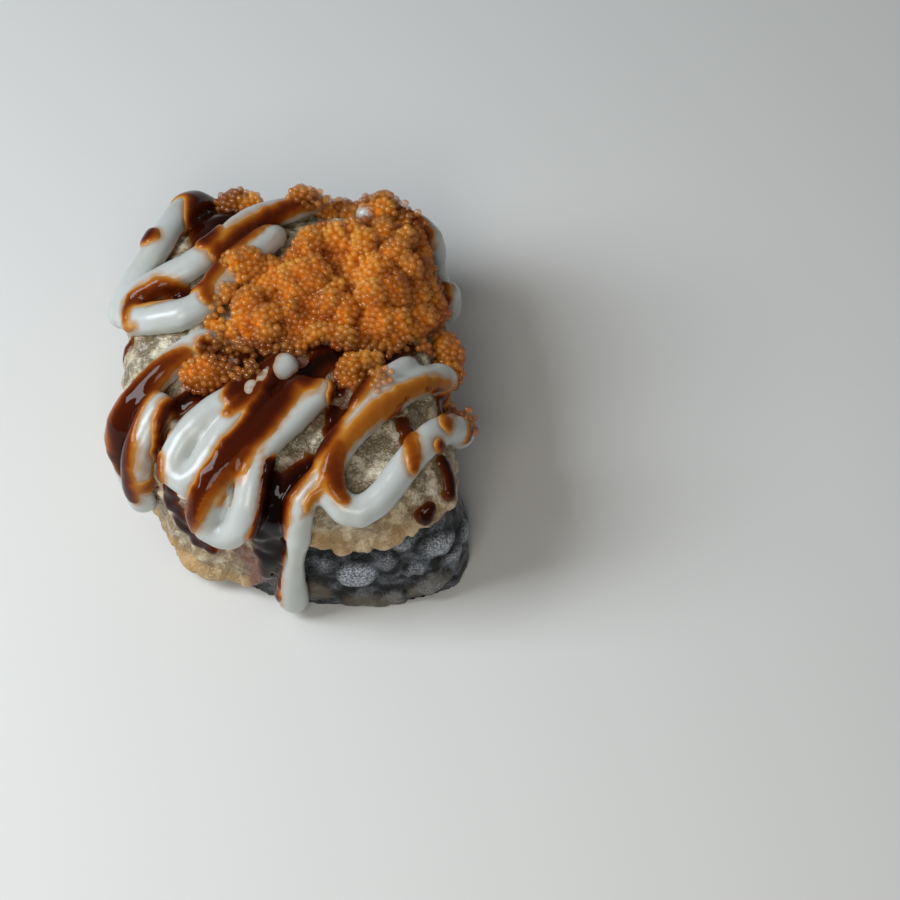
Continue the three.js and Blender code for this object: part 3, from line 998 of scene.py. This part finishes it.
@dataclass
class Glaze:
    """The dark glaze poured over crust and mayonnaise: films, pools between the lines and drips.

    Attributes:
        voxel: Fineness of the skin.
        wall: Thickness of the shell, most of it under the surface.
        level: Share of the dips between the lines that the glaze fills.
        settling: Passes in which it settles into the dips.
        round_off: Width over which its edge rounds down.
        runs: Its bands, pools and drips.
        clear: Stretches of mayonnaise that stay clean.
        stains: Runs that soaked into the crust.
    """

    voxel: float = 0.39
    wall: float = 0.9
    level: float = 0.62
    settling: int = 160
    round_off: float = 1.1
    runs: tuple[Run, ...] = (
        # Back corner, then the band between the two rear lines and the loop at their left end.
        Run(((-13.0, 34.0, 3.6), (-14.6, 31.0, 4.0), (-14.2, 26.6, 3.3), (-14.2, 21.7, 2.4),
             (-13.8, 15.4, 1.4)), 0.55, 1.0, 0.7),
        Run(((-9.0, 29.5, 2.6), (-12.0, 23.4, 2.6), (-13.2, 16.0, 2.0)), 0.5, 1.2, 0.9),
        Run(((3.1, 27.1, 1.4), (-0.7, 24.5, 1.6), (-4.4, 21.9, 1.9), (-7.5, 18.4, 2.2),
             (-9.7, 15.4, 2.2), (-11.5, 10.7, 1.9), (-12.6, 7.4, 1.4), (-12.3, 4.6, 1.3)),
            0.45, 1.0, 0.5),
        Run(((-13.4, 6.9, 1.1), (-17.2, 9.1, 1.7), (-20.5, 8.7, 1.9), (-23.2, 8.1, 1.7),
             (-25.2, 7.1, 1.4), (-25.6, 4.1, 1.0), (-26.0, 3.6, 0.6)), 0.5, 1.0, 0.5),
        # Along the left line and down the left side, amber at first and dark where it gathers.
        Run(((-15.2, -5.2, 1.1), (-18.0, -6.7, 1.7), (-20.8, -8.8, 2.2), (-22.9, -11.0, 2.5),
             (-24.4, -13.2, 3.0), (-26.6, -15.9, 3.2), (-29.2, -19.1, 3.3), (-29.6, -23.8, 2.6),
             (-30.0, -27.8, 1.5)), 0.45, 0.6, 1.5),
        Run(((-23.4, -11.9, 1.4), (-24.0, -13.8, 1.8), (-24.6, -18.5, 2.0), (-28.0, -23.4, 1.8)),
            0.4, 0.9, 1.2),
        # Valley between the left lines and the front ones.
        Run(((2.1, -4.2, 1.4), (-3.9, -4.9, 1.9), (-8.0, -6.9, 2.1), (-11.6, -10.4, 2.1),
             (-15.2, -10.7, 1.7), (-17.7, -12.9, 1.6), (-19.2, -15.7, 1.4), (-19.9, -19.2, 1.3),
             (-19.1, -24.1, 1.4), (-21.5, -28.3, 1.6), (-22.2, -33.4, 1.6), (-22.1, -38.5, 1.3),
             (-18.5, -41.1, 1.0)), 0.45, 1.6, 1.4),
        # Broad valley down the middle, with the long drip at the front left.
        Run(((13.2, -2.1, 1.3), (9.0, -3.4, 2.1), (4.8, -5.3, 2.4), (1.5, -8.5, 2.7),
             (-1.5, -14.0, 3.0), (-4.4, -18.2, 2.9), (-7.3, -21.7, 2.5), (-10.3, -24.8, 2.2),
             (-12.8, -27.4, 1.9), (-14.5, -29.8, 1.9), (-17.5, -34.3, 1.7), (-20.3, -39.7, 1.4)),
            0.45, 1.5, 0.7),
        Run(((-5.8, -22.3, 1.9), (-8.8, -25.4, 1.9), (-11.5, -28.1, 1.6), (-13.3, -30.3, 1.4)),
            0.35, 0.6, 0.3),
        # Over the top of the left front line, over the top of the narrow loop, and inside it.
        Run(((-8.0, -13.6, 1.6), (-7.0, -11.8, 2.6), (-5.0, -9.4, 3.0), (-3.2, -6.6, 2.6)),
            0.4, 1.0, 1.3),
        Run(((-8.6, -16.2, 0.8), (-6.8, -14.7, 1.6), (-5.1, -12.0, 2.2), (-3.3, -9.2, 2.2),
             (-1.6, -6.1, 1.8)), 0.35, 0.9, 1.2),
        Run(((9.3, -5.3, 1.5), (7.3, -12.0, 1.4), (7.2, -15.7, 1.3), (6.8, -20.3, 1.3),
             (4.2, -23.5, 1.3)), 0.45, 1.4),
        Run(((-8.2, -25.1, 0.6), (-9.7, -28.3, 0.9)), 0.2, 0.1),
        # Pool at the front and the band that feeds it.
        Run(((-2.4, -23.6, 1.6), (-2.3, -25.5, 2.9), (-2.4, -29.1, 3.5), (-3.0, -35.0, 3.1),
             (-3.6, -41.9, 2.7), (-3.8, -48.2, 2.2), (-3.4, -54.1, 1.6)), 0.6, 2.0),
        Run(((16.7, -2.2, 1.4), (13.8, -6.7, 1.6), (11.5, -12.0, 1.6), (9.3, -15.4, 1.6),
             (7.6, -19.2, 1.4), (6.0, -21.6, 1.7), (3.6, -23.2, 2.3), (0.9, -26.0, 2.5)), 0.5, 1.3),
        # Thin amber over the front right loop, and the drops that cross it.
        Run(((27.0, -6.8, 1.1), (23.4, -8.3, 1.3), (19.9, -11.1, 1.6), (16.4, -13.9, 1.7),
             (13.4, -16.5, 1.7), (10.8, -19.3, 1.4), (9.3, -21.2, 1.3)), 0.3, 0.1, 0.25),
        Run(((8.3, -21.7, 1.4), (7.5, -24.2, 1.9), (7.8, -26.7, 1.9), (9.1, -29.1, 1.1)),
            0.5, 0.35, 0.6),
        Run(((5.9, -26.7, 1.0), (4.3, -29.1, 1.1), (3.6, -31.3, 0.6)), 0.3, 0.2),
        Run(((17.9, -15.0, 1.3), (19.3, -20.2, 1.4), (19.8, -24.4, 1.3)), 0.4, 0.25, 0.5),
        Run(((25.2, -8.9, 1.3), (24.7, -16.2, 1.4)), 0.4, 0.25, 0.3),
        Run(((17.0, -14.6, 0.8), (20.6, -10.2, 1.1), (27.2, -7.4, 1.0)), 0.5, 1.2),
        Run(((15.8, -16.4, 0.8), (17.6, -14.6, 1.0)), 0.4, 0.8),
        Run(((9.5, 28.5, 1.4), (16.0, 27.0, 1.6), (21.5, 23.5, 1.7), (25.5, 18.5, 1.6),
             (28.3, 12.0, 1.5), (29.0, 7.0, 1.2)), 0.4, 0.4, 0.9),
        # Drips down the back and the sides that the picture doesn't show.
        Run(((-7.0, 33.0, 1.7), (-9.1, 38.5, 1.4), (-8.5, 43.0, 1.5), (-9.9, 47.0, 2.1)), 0.7, 1.2),
        Run(((9.0, 31.0, 1.7), (11.0, 36.0, 1.4), (10.6, 40.0, 1.9)), 0.7, 1.0),
        Run(((-23.0, 20.0, 2.0), (-27.6, 25.4, 1.6), (-31.8, 28.4, 1.6), (-34.0, 31.2, 2.2)), 0.7, 1.2),
        Run(((27.5, 14.0, 1.8), (32.4, 15.8, 1.5), (36.0, 18.8, 1.5), (39.2, 19.3, 2.0)), 0.7, 1.2),
        Run(((28.5, -1.0, 1.6), (32.4, -2.0, 1.4), (36.0, -1.4, 1.8)), 0.7, 1.0),
        # Drops at the right edge.
        Run(((23.5, -20.1, 1.0), (25.4, -20.4, 1.3), (26.6, -23.8, 1.3), (26.8, -26.1, 1.0)), 0.9, 0.8),
        Run(((23.3, -29.2, 1.0), (23.1, -31.2, 1.4)), 1.1, 1.0),
        # Under the roe, and where it runs off at both sides.
        Run(((-12.7, -4.1, 1.6), (-7.3, -3.7, 1.6), (-1.9, -2.5, 1.4), (5.1, -3.1, 1.4),
             (11.3, -3.2, 1.4), (19.0, -0.2, 1.4)), 0.5, 1.4),
        Run(((-24.4, 2.4, 0.6), (-27.8, 2.9, 1.0), (-31.0, 1.5, 1.2)), 0.3, 0.6),
        Run(((27.5, 3.0, 1.4), (29.5, -3.0, 1.7), (30.0, -9.0, 1.8), (29.9, -16.0, 1.3)), 0.4, 1.0))
    clear: tuple[Run, ...] = (
        # The front drip, the right arm of the narrow loop, and the bits between the bands.
        Run(((5.0, -30.5, 1.3), (2.6, -33.5, 1.8), (1.8, -38.0, 1.9), (1.9, -44.0, 1.9),
             (2.3, -50.0, 2.2), (2.6, -57.0, 2.6))),
        Run(((-3.3, -23.0, 0.7), (-4.3, -25.9, 1.1), (-5.0, -29.1, 1.4), (-6.0, -31.8, 1.5),
             (-9.3, -36.1, 1.4), (-13.0, -37.7, 1.2))),
        Run(((-0.1, -9.3, 1.6), (1.7, -5.2, 1.9))),
        Run(((-5.4, -12.4, 0.7), (-5.1, -11.3, 0.7))), Run(((-3.6, -10.4, 0.5), (-3.1, -9.4, 0.5))),
        Run(((4.8, -13.7, 1.0), (2.8, -15.7, 1.2), (1.2, -17.3, 0.7))),
        Run(((0.3, -19.4, 0.9), (-1.2, -21.2, 1.0), (-2.4, -22.5, 0.9))),
        Run(((5.0, -15.5, 1.1), (2.8, -18.2, 1.3), (1.1, -20.8, 1.1))),
        Run(((-0.4, 22.6, 1.0), (-3.5, 16.5, 1.2), (-6.2, 13.1, 1.2), (-8.0, 10.7, 1.0))))
    stains: tuple[Run, ...] = (
        Run(((-10.6, -41.3, 2.3), (-8.2, -48.3, 2.6), (-5.7, -54.0, 1.8))),)

    def samples(self, skin: Skin) -> np.ndarray:
        """Lays the runs of glaze on the surface and returns their samples."""
        return np.concatenate([run.on(skin) for run in self.runs])

    def soaks(self, skin: Skin) -> np.ndarray:
        """Lays the soaked-in runs on the surface and returns their samples."""
        return np.concatenate([run.on(skin) for run in self.stains])

    def keeps_clear(self, skin: Skin) -> np.ndarray:
        """Lays the clean stretches on the surface and returns their samples."""
        return np.concatenate([run.on(skin) for run in self.clear])

    def build(self, base: bpy.types.Object, skin: Skin, samples: np.ndarray, clear: np.ndarray,
              coat: bpy.types.Object, lines: bpy.types.Object) -> bpy.types.Object:
        """Makes the film.

        Args:
            base: Joined outer surface of roll, crust and mayonnaise.
            skin: The same surface, read.
            samples: Samples of the runs.
            clear: Samples of the clean stretches.
            coat: The crust.
            lines: The mayonnaise.

        Returns:
            The finished piece.
        """
        points, facing, relief = skin.points, skin.normals, skin.relief
        edges = np.empty(len(base.data.edges) * 2, dtype=np.int32)
        base.data.edges.foreach_get("vertices", edges)
        fill = settle(relief, edges.reshape(-1, 2), self.settling) - relief
        inside, layer = run_field(points, samples)
        inside = np.minimum(inside, -run_field(points, clear)[0])
        inside = np.where(facing[:, 2] < -0.5, -9.0, inside) + 0.25 * fractal(points, 2.4, 2, 41.0)
        edge = np.clip(inside / self.round_off, 0.0, 1.0)
        film = layer[:, 0] * np.sqrt(1.0 - (1.0 - edge) ** 2)
        lift = np.where(inside > 0.0, film + fill * self.level * smoothstep(inside, 0.0, 1.4), -0.4)
        sheet = duplicate(base, "soy_glaze")
        set_coords(sheet, points + facing * lift[:, None])
        build = bmesh.new()
        build.from_mesh(sheet.data)
        build.verts.ensure_lookup_table()
        bare = [build.verts[index] for index in np.nonzero(inside < -0.9)[0].tolist()]
        bmesh.ops.delete(build, geom=bare, context="VERTS")
        build.to_mesh(sheet.data)
        build.free()
        wall = sheet.modifiers.new("wall", "SOLIDIFY")
        wall.thickness = self.wall * MM
        wall.offset = -1.0
        bake(sheet)
        remesh(sheet, self.voxel)
        relax(sheet, 3)
        self.dress(sheet, samples, tree_of(coat), tree_of(lines))
        return sheet

    def dress(self, sheet: bpy.types.Object, samples: np.ndarray, coat: BVHTree,
              lines: BVHTree) -> None:
        """Measures how deep the glaze is over what carries it, and gives it its finish.

        Args:
            sheet: The glaze.
            samples: Samples of the runs.
            coat: Faces of the crust.
            lines: Faces of the mayonnaise.
        """
        points = coords(sheet)
        to_crust = distances(coat, points)
        to_white = distances(lines, points)
        inside, layer = run_field(points, samples)
        tone = layer[:, 1] * smoothstep(inside, 0.0, 2.0)
        store(sheet, "depth", np.minimum(to_crust, to_white) + tone)
        store(sheet, "over_white", smoothstep(to_crust - to_white, -0.5, 0.5))
        finish_piece(sheet, GlazeFinish().material(), "sauce")


@dataclass(frozen=True)
class Clump:
    """A rounded clump of eggs, on the unrolled map.

    Attributes:
        u: First unrolled coordinate.
        v: Second unrolled coordinate.
        radius: Its radius.
        height: How far it stands over the core.
    """

    u: float
    v: float
    radius: float
    height: float


@dataclass
class Roe:
    """Masago heaped on the crown: single eggs, packed over a lumpy core.

    Attributes:
        egg: Diameter of an egg, before its girth varies it. It was not measured well.
        gap: Least distance between the middles of two eggs, as a share of the diameter.
        hollow: How far the core lies under the clumps.
        knob: Size of the small knobs on the clumps.
        knob_height: Height of those knobs.
        knob_bend: How uneven they are.
        voxel: Fineness of the core.
        crowding: Candidate eggs for each square millimetre of the core.
        seed: Start of the random draws.
        small: Nodes of the small clumps.
        clumps: Rounded clumps that make up the heap.
        spill: Small clumps that slid off the heap.
        trails: Runs along which loose eggs lie.
    """

    egg: float = 1.22
    gap: float = 0.67
    hollow: float = 3.2
    knob: float = 2.6
    knob_height: float = 0.8
    knob_bend: float = 0.6
    voxel: float = 0.42
    crowding: int = 16
    seed: int = 7
    small: tuple[str, ...] = ("roe_clump_left", "roe_clump_front", "roe_clump_back",
                              "roe_clump_back_left", "roe_clump_right")
    clumps: tuple[Clump, ...] = (
        Clump(-6.7, 4.9, 2.7, 3.6), Clump(-3.9, 0.9, 2.3, 3.8), Clump(-2.9, -2.0, 1.8, 3.0),
        Clump(-7.4, 1.2, 1.7, 2.6), Clump(1.8, 8.3, 3.1, 4.2), Clump(6.3, 3.5, 1.8, 3.3),
        Clump(4.6, 10.9, 1.8, 3.2), Clump(2.8, 17.0, 2.2, 3.6), Clump(6.9, 18.7, 2.1, 3.2),
        Clump(11.9, 16.3, 2.3, 3.7), Clump(14.8, 21.2, 1.8, 2.8), Clump(18.6, 19.3, 2.0, 3.4),
        Clump(17.0, 13.8, 2.5, 4.2), Clump(13.7, 9.9, 2.9, 4.8), Clump(13.2, 4.5, 2.8, 5.0),
        Clump(16.9, 6.7, 2.9, 5.0), Clump(19.5, 11.0, 2.0, 3.8), Clump(14.4, 1.5, 2.3, 3.8),
        Clump(17.8, 1.6, 1.9, 3.0), Clump(21.0, 7.6, 1.8, 2.8), Clump(8.9, 2.3, 1.7, 2.6),
        Clump(5.4, -1.8, 2.1, 3.2), Clump(9.2, -2.1, 1.7, 2.8), Clump(22.0, 4.6, 1.6, 2.6),
        Clump(0.4, 2.4, 1.6, 2.4), Clump(9.6, 12.3, 1.4, 1.8), Clump(7.5, 6.9, 1.5, 2.0),
        Clump(10.0, 20.5, 1.8, 3.0))
    spill: tuple[Blister, ...] = (
        Blister(-8.4, 10.9, 1.8, 1.7), Blister(-6.1, 12.1, 2.0, 2.1), Blister(-3.4, 11.6, 2.4, 2.7),
        Blister(-0.6, 10.6, 2.0, 2.2), Blister(-9.6, 6.4, 1.5, 1.4), Blister(-7.4, 9.9, 1.6, 1.0),
        Blister(-11.3, 2.2, 1.4, 1.4), Blister(-9.0, 0.3, 1.5, 1.1), Blister(1.5, 27.5, 2.2, 1.4),
        Blister(5.5, 29.0, 2.4, 1.8), Blister(10.0, 29.0, 2.5, 1.9), Blister(14.2, 26.6, 2.5, 2.0),
        Blister(18.2, 23.8, 2.2, 1.7), Blister(21.3, 20.2, 2.0, 1.5), Blister(12.2, -8.0, 1.8, 1.6))
    trails: tuple[Run, ...] = (
        Run(((-12.7, -4.1, 1.4), (-9.2, -3.1, 1.7), (-5.8, -3.8, 1.9), (-1.9, -3.5, 1.7),
             (2.1, -3.3, 1.3))),
        Run(((11.3, -2.9, 1.4), (15.2, -1.8, 1.6), (19.0, 0.9, 1.4), (21.8, 1.2, 1.3))),
        Run(((-10.1, 7.1, 1.0), (-10.6, 5.1, 1.1), (-11.6, 2.2, 1.1), (-9.3, -0.2, 1.1))),
        Run(((-9.4, -9.2, 0.8), (-7.0, -10.4, 1.0), (-4.7, -9.2, 1.1))),
        Run(((9.1, -8.9, 1.0), (12.2, -7.9, 1.6), (15.3, -8.6, 1.4), (13.8, -11.2, 1.2))),
        Run(((25.0, 8.0, 1.4), (27.0, 3.6, 2.1), (28.2, -2.5, 2.2), (29.0, -8.0, 1.9),
             (30.0, -13.0, 1.3))),
        Run(((-9.5, 29.6, 1.6), (-7.8, 31.5, 1.5), (-7.0, 27.3, 1.2))),
        Run(((0.5, 27.5, 1.2), (3.5, 28.4, 2.0), (8.0, 29.5, 1.8), (13.5, 27.0, 2.2),
             (17.5, 25.0, 2.2), (21.5, 20.5, 1.6), (24.0, 14.0, 1.5))))

    def build(self, carriers: list[bpy.types.Object], skin: Skin, glaze: np.ndarray) -> None:
        """Makes the heap, the clumps and the loose eggs.

        Args:
            carriers: Crust, mayonnaise and glaze, on which loose eggs lie.
            skin: Surface on which places are given.
            glaze: Samples of the runs of glaze, which soak the eggs near them.
        """
        eggs = RoeFinish().material()
        heart = RoeFinish("masago_heart", "#d0721a", "#e88e2c", "#5a2806", 1.0, 0.0).material()
        for name, nodes in (("masago_heap", ("roe_heap",)), ("masago_clumps", self.small)):
            core = self.core(name + "_core", nodes, skin)
            spots = self.pack(core)
            if nodes is self.small:
                spots = np.concatenate([spots, self.scatter(carriers, skin)])
            spots = self.thin_out(spots, self.gap * self.egg)
            finish_piece(self.pile(name, spots, glaze), eggs, "roe", nodes)
            size = len(core.data.vertices)
            store(core, "tint", np.full(size, 0.4))
            store(core, "soak", 0.8 * self.soaking(coords(core), glaze))
            finish_piece(core, heart, "roe")

    def core(self, name: str, nodes: tuple[str, ...], skin: Skin) -> bpy.types.Object:
        """Makes the lumpy core that carries the eggs.

        Args:
            name: Name of the core.
            nodes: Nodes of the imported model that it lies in.
            skin: Surface that carries the roe that spilled off the heap.

        Returns:
            The core.
        """
        core = join_copies(name, nodes_named(*nodes))
        if nodes is self.small:
            add_domes(core, self.spill, skin)
        remesh(core, self.voxel)
        relax(core, 3)
        points = coords(core)
        facing = normals(core)
        top = smoothstep(facing[:, 2], -0.3, 0.3)
        flat = unroll(points)
        crust = tree_of(nodes_named("batter_coat")[0])
        low = -np.clip(distances(crust, points) - 0.8, 0.0, self.hollow if "roe_heap" in nodes else 0.0)
        lift = low.copy()
        for clump in self.clumps:
            span = np.hypot(flat[:, 0] - clump.u, flat[:, 1] - clump.v) / clump.radius
            dome = np.clip(1.0 - span * span, 0.0, 1.0) ** 0.4
            lift = np.maximum(lift, low + np.minimum(clump.height, 0.8 - low) * dome)
        warp = points + self.knob_bend * wander(points, self.knob, 2, (13.0, 15.0, 19.0))
        knobs = self.knob_height * (pebbles(warp, self.knob, 3.0) - 0.7)
        lift = (lift + knobs + 0.15 * fractal(points, 1.6, 2, 17.0)) * top
        set_coords(core, points + facing * lift[:, None])
        relax(core, 1)
        return core

    def pack(self, core: bpy.types.Object) -> np.ndarray:
        """Draws many places for eggs on the core.

        Args:
            core: Core that carries them.

        Returns:
            Candidate middles of eggs.
        """
        draw = np.random.default_rng(self.seed)
        corners = corners_of(core)
        points = coords(core)
        facing = normals(core)[corners[:, 0]]
        a, b, c = (points[corners[:, at]] for at in range(3))
        area = 0.5 * np.linalg.norm(np.cross(b - a, c - a), axis=1) * (facing[:, 2] > -0.92)
        picks = draw.choice(len(area), size=int(area.sum() * self.crowding), p=area / area.sum())
        mix = draw.random((len(picks), 2))
        over = mix.sum(axis=1) > 1.0
        mix[over] = 1.0 - mix[over]
        spots = a[picks] + mix[:, :1] * (b - a)[picks] + mix[:, 1:] * (c - a)[picks]
        return spots + facing[picks] * self.egg * (0.14 + 0.24 * draw.random((len(picks), 1)))

    def scatter(self, carriers: list[bpy.types.Object], skin: Skin) -> np.ndarray:
        """Draws places for loose eggs along the trails.

        Args:
            carriers: Pieces on which they lie.
            skin: Surface on which the trails are given.

        Returns:
            Candidate middles of eggs.
        """
        draw = np.random.default_rng(self.seed + 1)
        ground = join_copies("ground", carriers)
        faces = tree_of(ground)
        bpy.data.objects.remove(ground)
        spots = []
        for x, y, z, _, _, _, width, *_ in np.concatenate([run.on(skin, 0.4) for run in self.trails]):
            for _ in range(8):
                aside = draw.normal(size=3) * width * 0.5
                place, facing, *_ = faces.find_nearest(Vector((x, y, z)) + Vector(aside))
                rise = self.egg * draw.choice((0.2, 0.3, 0.9), p=(0.5, 0.4, 0.1))
                spots.append(np.array(place + facing * rise))
        return np.array(spots)

    def thin_out(self, spots: np.ndarray, gap: float) -> np.ndarray:
        """Keeps the spots that stay clear of those kept before.

        Args:
            spots: Candidate middles.
            gap: Least distance between two kept ones.

        Returns:
            The kept spots.
        """
        cells: dict[tuple[int, int, int], list[list[float]]] = {}
        kept = []
        for spot in spots.tolist():
            i, j, k = (int(part // gap) for part in spot)
            around = [other for x in (i - 1, i, i + 1) for y in (j - 1, j, j + 1)
                      for z in (k - 1, k, k + 1) for other in cells.get((x, y, z), ())]
            if all(math.dist(spot, other) > gap for other in around):
                cells.setdefault((i, j, k), []).append(spot)
                kept.append(spot)
        return np.array(kept)

    def soaking(self, points: np.ndarray, glaze: np.ndarray) -> np.ndarray:
        """Returns from 0 to 1 how much glaze has soaked in at each place."""
        return smoothstep(run_field(points, glaze)[0] + 0.8 * fractal(points, 2.5, 2, 27.0), -1.0, 1.2)

    def proud(self, spots: np.ndarray, around: float = 3.2) -> np.ndarray:
        """Returns how far each spot stands over the mean of those around it.

        Args:
            spots: Middles of the eggs.
            around: Radius in which they are compared.

        Returns:
            Heights in millimetres, negative in a crevice.
        """
        search = KDTree(len(spots))
        for index, spot in enumerate(spots.tolist()):
            search.insert(spot, index)
        search.balance()
        means = [np.mean([hit[0][2] for hit in search.find_range(spot, around)])
                 for spot in spots.tolist()]
        return spots[:, 2] - np.array(means)

    def pile(self, name: str, spots: np.ndarray, glaze: np.ndarray) -> bpy.types.Object:
        """Puts an egg on each spot.

        Args:
            name: Name of the piece.
            spots: Middles of the eggs.
            glaze: Samples of the runs of glaze.

        Returns:
            The joined eggs.
        """
        draw = np.random.default_rng(self.seed + 2)
        seeds = bpy.data.meshes.new(name)
        seeds.vertices.add(len(spots))
        pile = bpy.data.objects.new(name, seeds)
        bpy.context.scene.collection.objects.link(pile)
        set_coords(pile, spots)
        proud = self.proud(spots)
        swells = fractal(spots, 7.0, 2, 23.0)
        # Random tone, then a painted highlight: eggs that stand proud of those around them get lighter.
        tint = 0.4 + 0.3 * swells + 0.06 * draw.normal(size=len(spots))
        store(pile, "tint", np.clip(tint + 0.45 * proud, 0.0, 1.0))
        # Painted shade: eggs down in a crevice take the soaked colour, like eggs that glaze soaked;
        # random swells darken some too.
        shade = np.maximum(0.8 * self.soaking(spots, glaze), 0.8 * smoothstep(-proud, 0.0, 1.0))
        store(pile, "soak", np.clip(np.maximum(shade, 0.28 - 0.5 * swells), 0.0, 1.0))
        store(pile, "girth", draw.uniform(0.86, 1.1, len(spots)))
        modifier = pile.modifiers.new("eggs", "NODES")
        modifier.node_group = self.egg_nodes()
        bake(pile)
        log.info("%s: %d eggs", name, len(spots))
        return pile

    def egg_nodes(self) -> bpy.types.NodeTree:
        """Returns the node tree that turns every vertex into an egg and joins the eggs."""
        tree = bpy.data.node_groups.new("eggs", "GeometryNodeTree")
        tree.interface.new_socket("Geometry", in_out="INPUT", socket_type="NodeSocketGeometry")
        tree.interface.new_socket("Geometry", in_out="OUTPUT", socket_type="NodeSocketGeometry")
        start = add_node(tree, "NodeGroupInput")
        ball = add_node(tree, "GeometryNodeMeshIcoSphere",
                        {"Radius": self.egg * MM / 2, "Subdivisions": 2})
        girth = add_node(tree, "GeometryNodeInputNamedAttribute",
                         {"data_type": "FLOAT", "Name": "girth"})
        spread = add_node(tree, "GeometryNodeInstanceOnPoints", None,
                          {"Points": start.outputs[0], "Instance": ball.outputs["Mesh"],
                           "Scale": girth.outputs["Attribute"]})
        real = add_node(tree, "GeometryNodeRealizeInstances", None,
                        {"Geometry": spread.outputs["Instances"]})
        smooth = add_node(tree, "GeometryNodeSetShadeSmooth", None,
                          {"Geometry": real.outputs["Geometry"]})
        add_node(tree, "NodeGroupOutput", None, {0: smooth.outputs["Geometry"]})
        return tree


# Studio --------------------------------------------------------------------------------------


class Lamp(Enum):
    """The studio's lamps: place of the lamp, width, depth, power in watts and colour."""

    WINDOW = ((-262.0, -45.0, 292.0), 160.0, 240.0, 1.42, "#eef6ff")
    SOFTBOX = ((-30.0, -260.0, 300.0), 140.0, 140.0, 0.42, "#fff9f0")


@dataclass
class Studio:
    """Floor, lamps and camera round the slice.

    Attributes:
        target: Point in the middle of the picture.
        elevation: Angle at which the camera looks down, in degrees.
        distance: From the camera to the target.
        picture: Width of the picture in pixels.
        pixels: Pixels for each millimetre at the target.
        sensor: Width of the camera's sensor.
        room: Colour of the light that fills the room.
        room_strength: Its strength.
        reach: Half width of the floor in metres.
    """

    target: tuple[float, float, float] = (25.3, -10.5, 15.0)
    elevation: float = 57.0
    distance: float = 520.0
    picture: int = 900
    pixels: float = 6.3
    sensor: float = 36.0
    room: str = "#e8ecf2"
    room_strength: float = 0.17
    reach: float = 3.0

    def build(self) -> None:
        """Makes the stage."""
        self.floor()
        self.lamps()
        self.camera()

    def floor(self) -> None:
        """Lays the plain floor."""
        build = bmesh.new()
        bmesh.ops.create_grid(build, x_segments=1, y_segments=1, size=self.reach)
        floor = from_bmesh("floor", build)
        floor.data.materials.append(BackdropFinish().material())

    def lamps(self) -> None:
        """Hangs the lamps and dims the room."""
        for lamp in Lamp:
            place, width, depth, power, colour = lamp.value
            data = bpy.data.lights.new(lamp.name.lower(), "AREA")
            data.shape = "RECTANGLE"
            data.size = width * MM
            data.size_y = depth * MM
            data.energy = power
            data.color = to_linear(colour)[:3]
            light = bpy.data.objects.new(lamp.name.lower(), data)
            light.location = Vector(place) * MM
            light.rotation_euler = (-light.location).to_track_quat("-Z", "Y").to_euler()
            bpy.context.scene.collection.objects.link(light)
        world = bpy.data.worlds.new("room")
        world.use_nodes = True
        fill = world.node_tree.nodes["Background"]
        fill.inputs["Color"].default_value = to_linear(self.room)
        fill.inputs["Strength"].default_value = self.room_strength
        bpy.context.scene.world = world
        bpy.context.scene.view_settings.view_transform = "Standard"

    def camera(self) -> None:
        """Sets the camera at the picture's angle."""
        data = bpy.data.cameras.new("camera")
        data.sensor_width = self.sensor
        data.lens = self.distance / (self.picture / self.pixels) * self.sensor
        data.clip_start = 0.01
        data.clip_end = 10.0
        camera = bpy.data.objects.new("camera", data)
        tilt = math.radians(self.elevation)
        back = Vector((0.0, -math.cos(tilt), math.sin(tilt)))
        camera.location = (Vector(self.target) + back * self.distance) * MM
        camera.rotation_euler = (-back).to_track_quat("-Z", "Y").to_euler()
        bpy.context.scene.collection.objects.link(camera)
        bpy.context.scene.camera = camera


def main() -> None:
    """Builds the slice and its stage."""
    logging.basicConfig(level=logging.INFO, format="%(message)s")
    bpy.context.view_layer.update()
    Studio().build()
    roll = NoriRoll().build()
    batter = BatterCoat()
    coat = batter.build(roll)
    mayonnaise = MayonnaiseLines()
    lines = mayonnaise.build(coat)
    base = join_copies("base", [roll, coat, lines])
    remesh(base, BASE_VOXEL)
    skin = Skin(base)
    glaze = Glaze()
    samples = glaze.samples(skin)
    batter.dress(coat, samples, glaze.soaks(skin))
    clear = glaze.keeps_clear(skin)
    mayonnaise.dress(lines, samples, clear)
    sheet = glaze.build(base, skin, samples, clear, coat, lines)
    bpy.data.objects.remove(base)
    Roe().build([coat, lines, sheet], skin, samples)


if __name__ == "__main__":
    main()
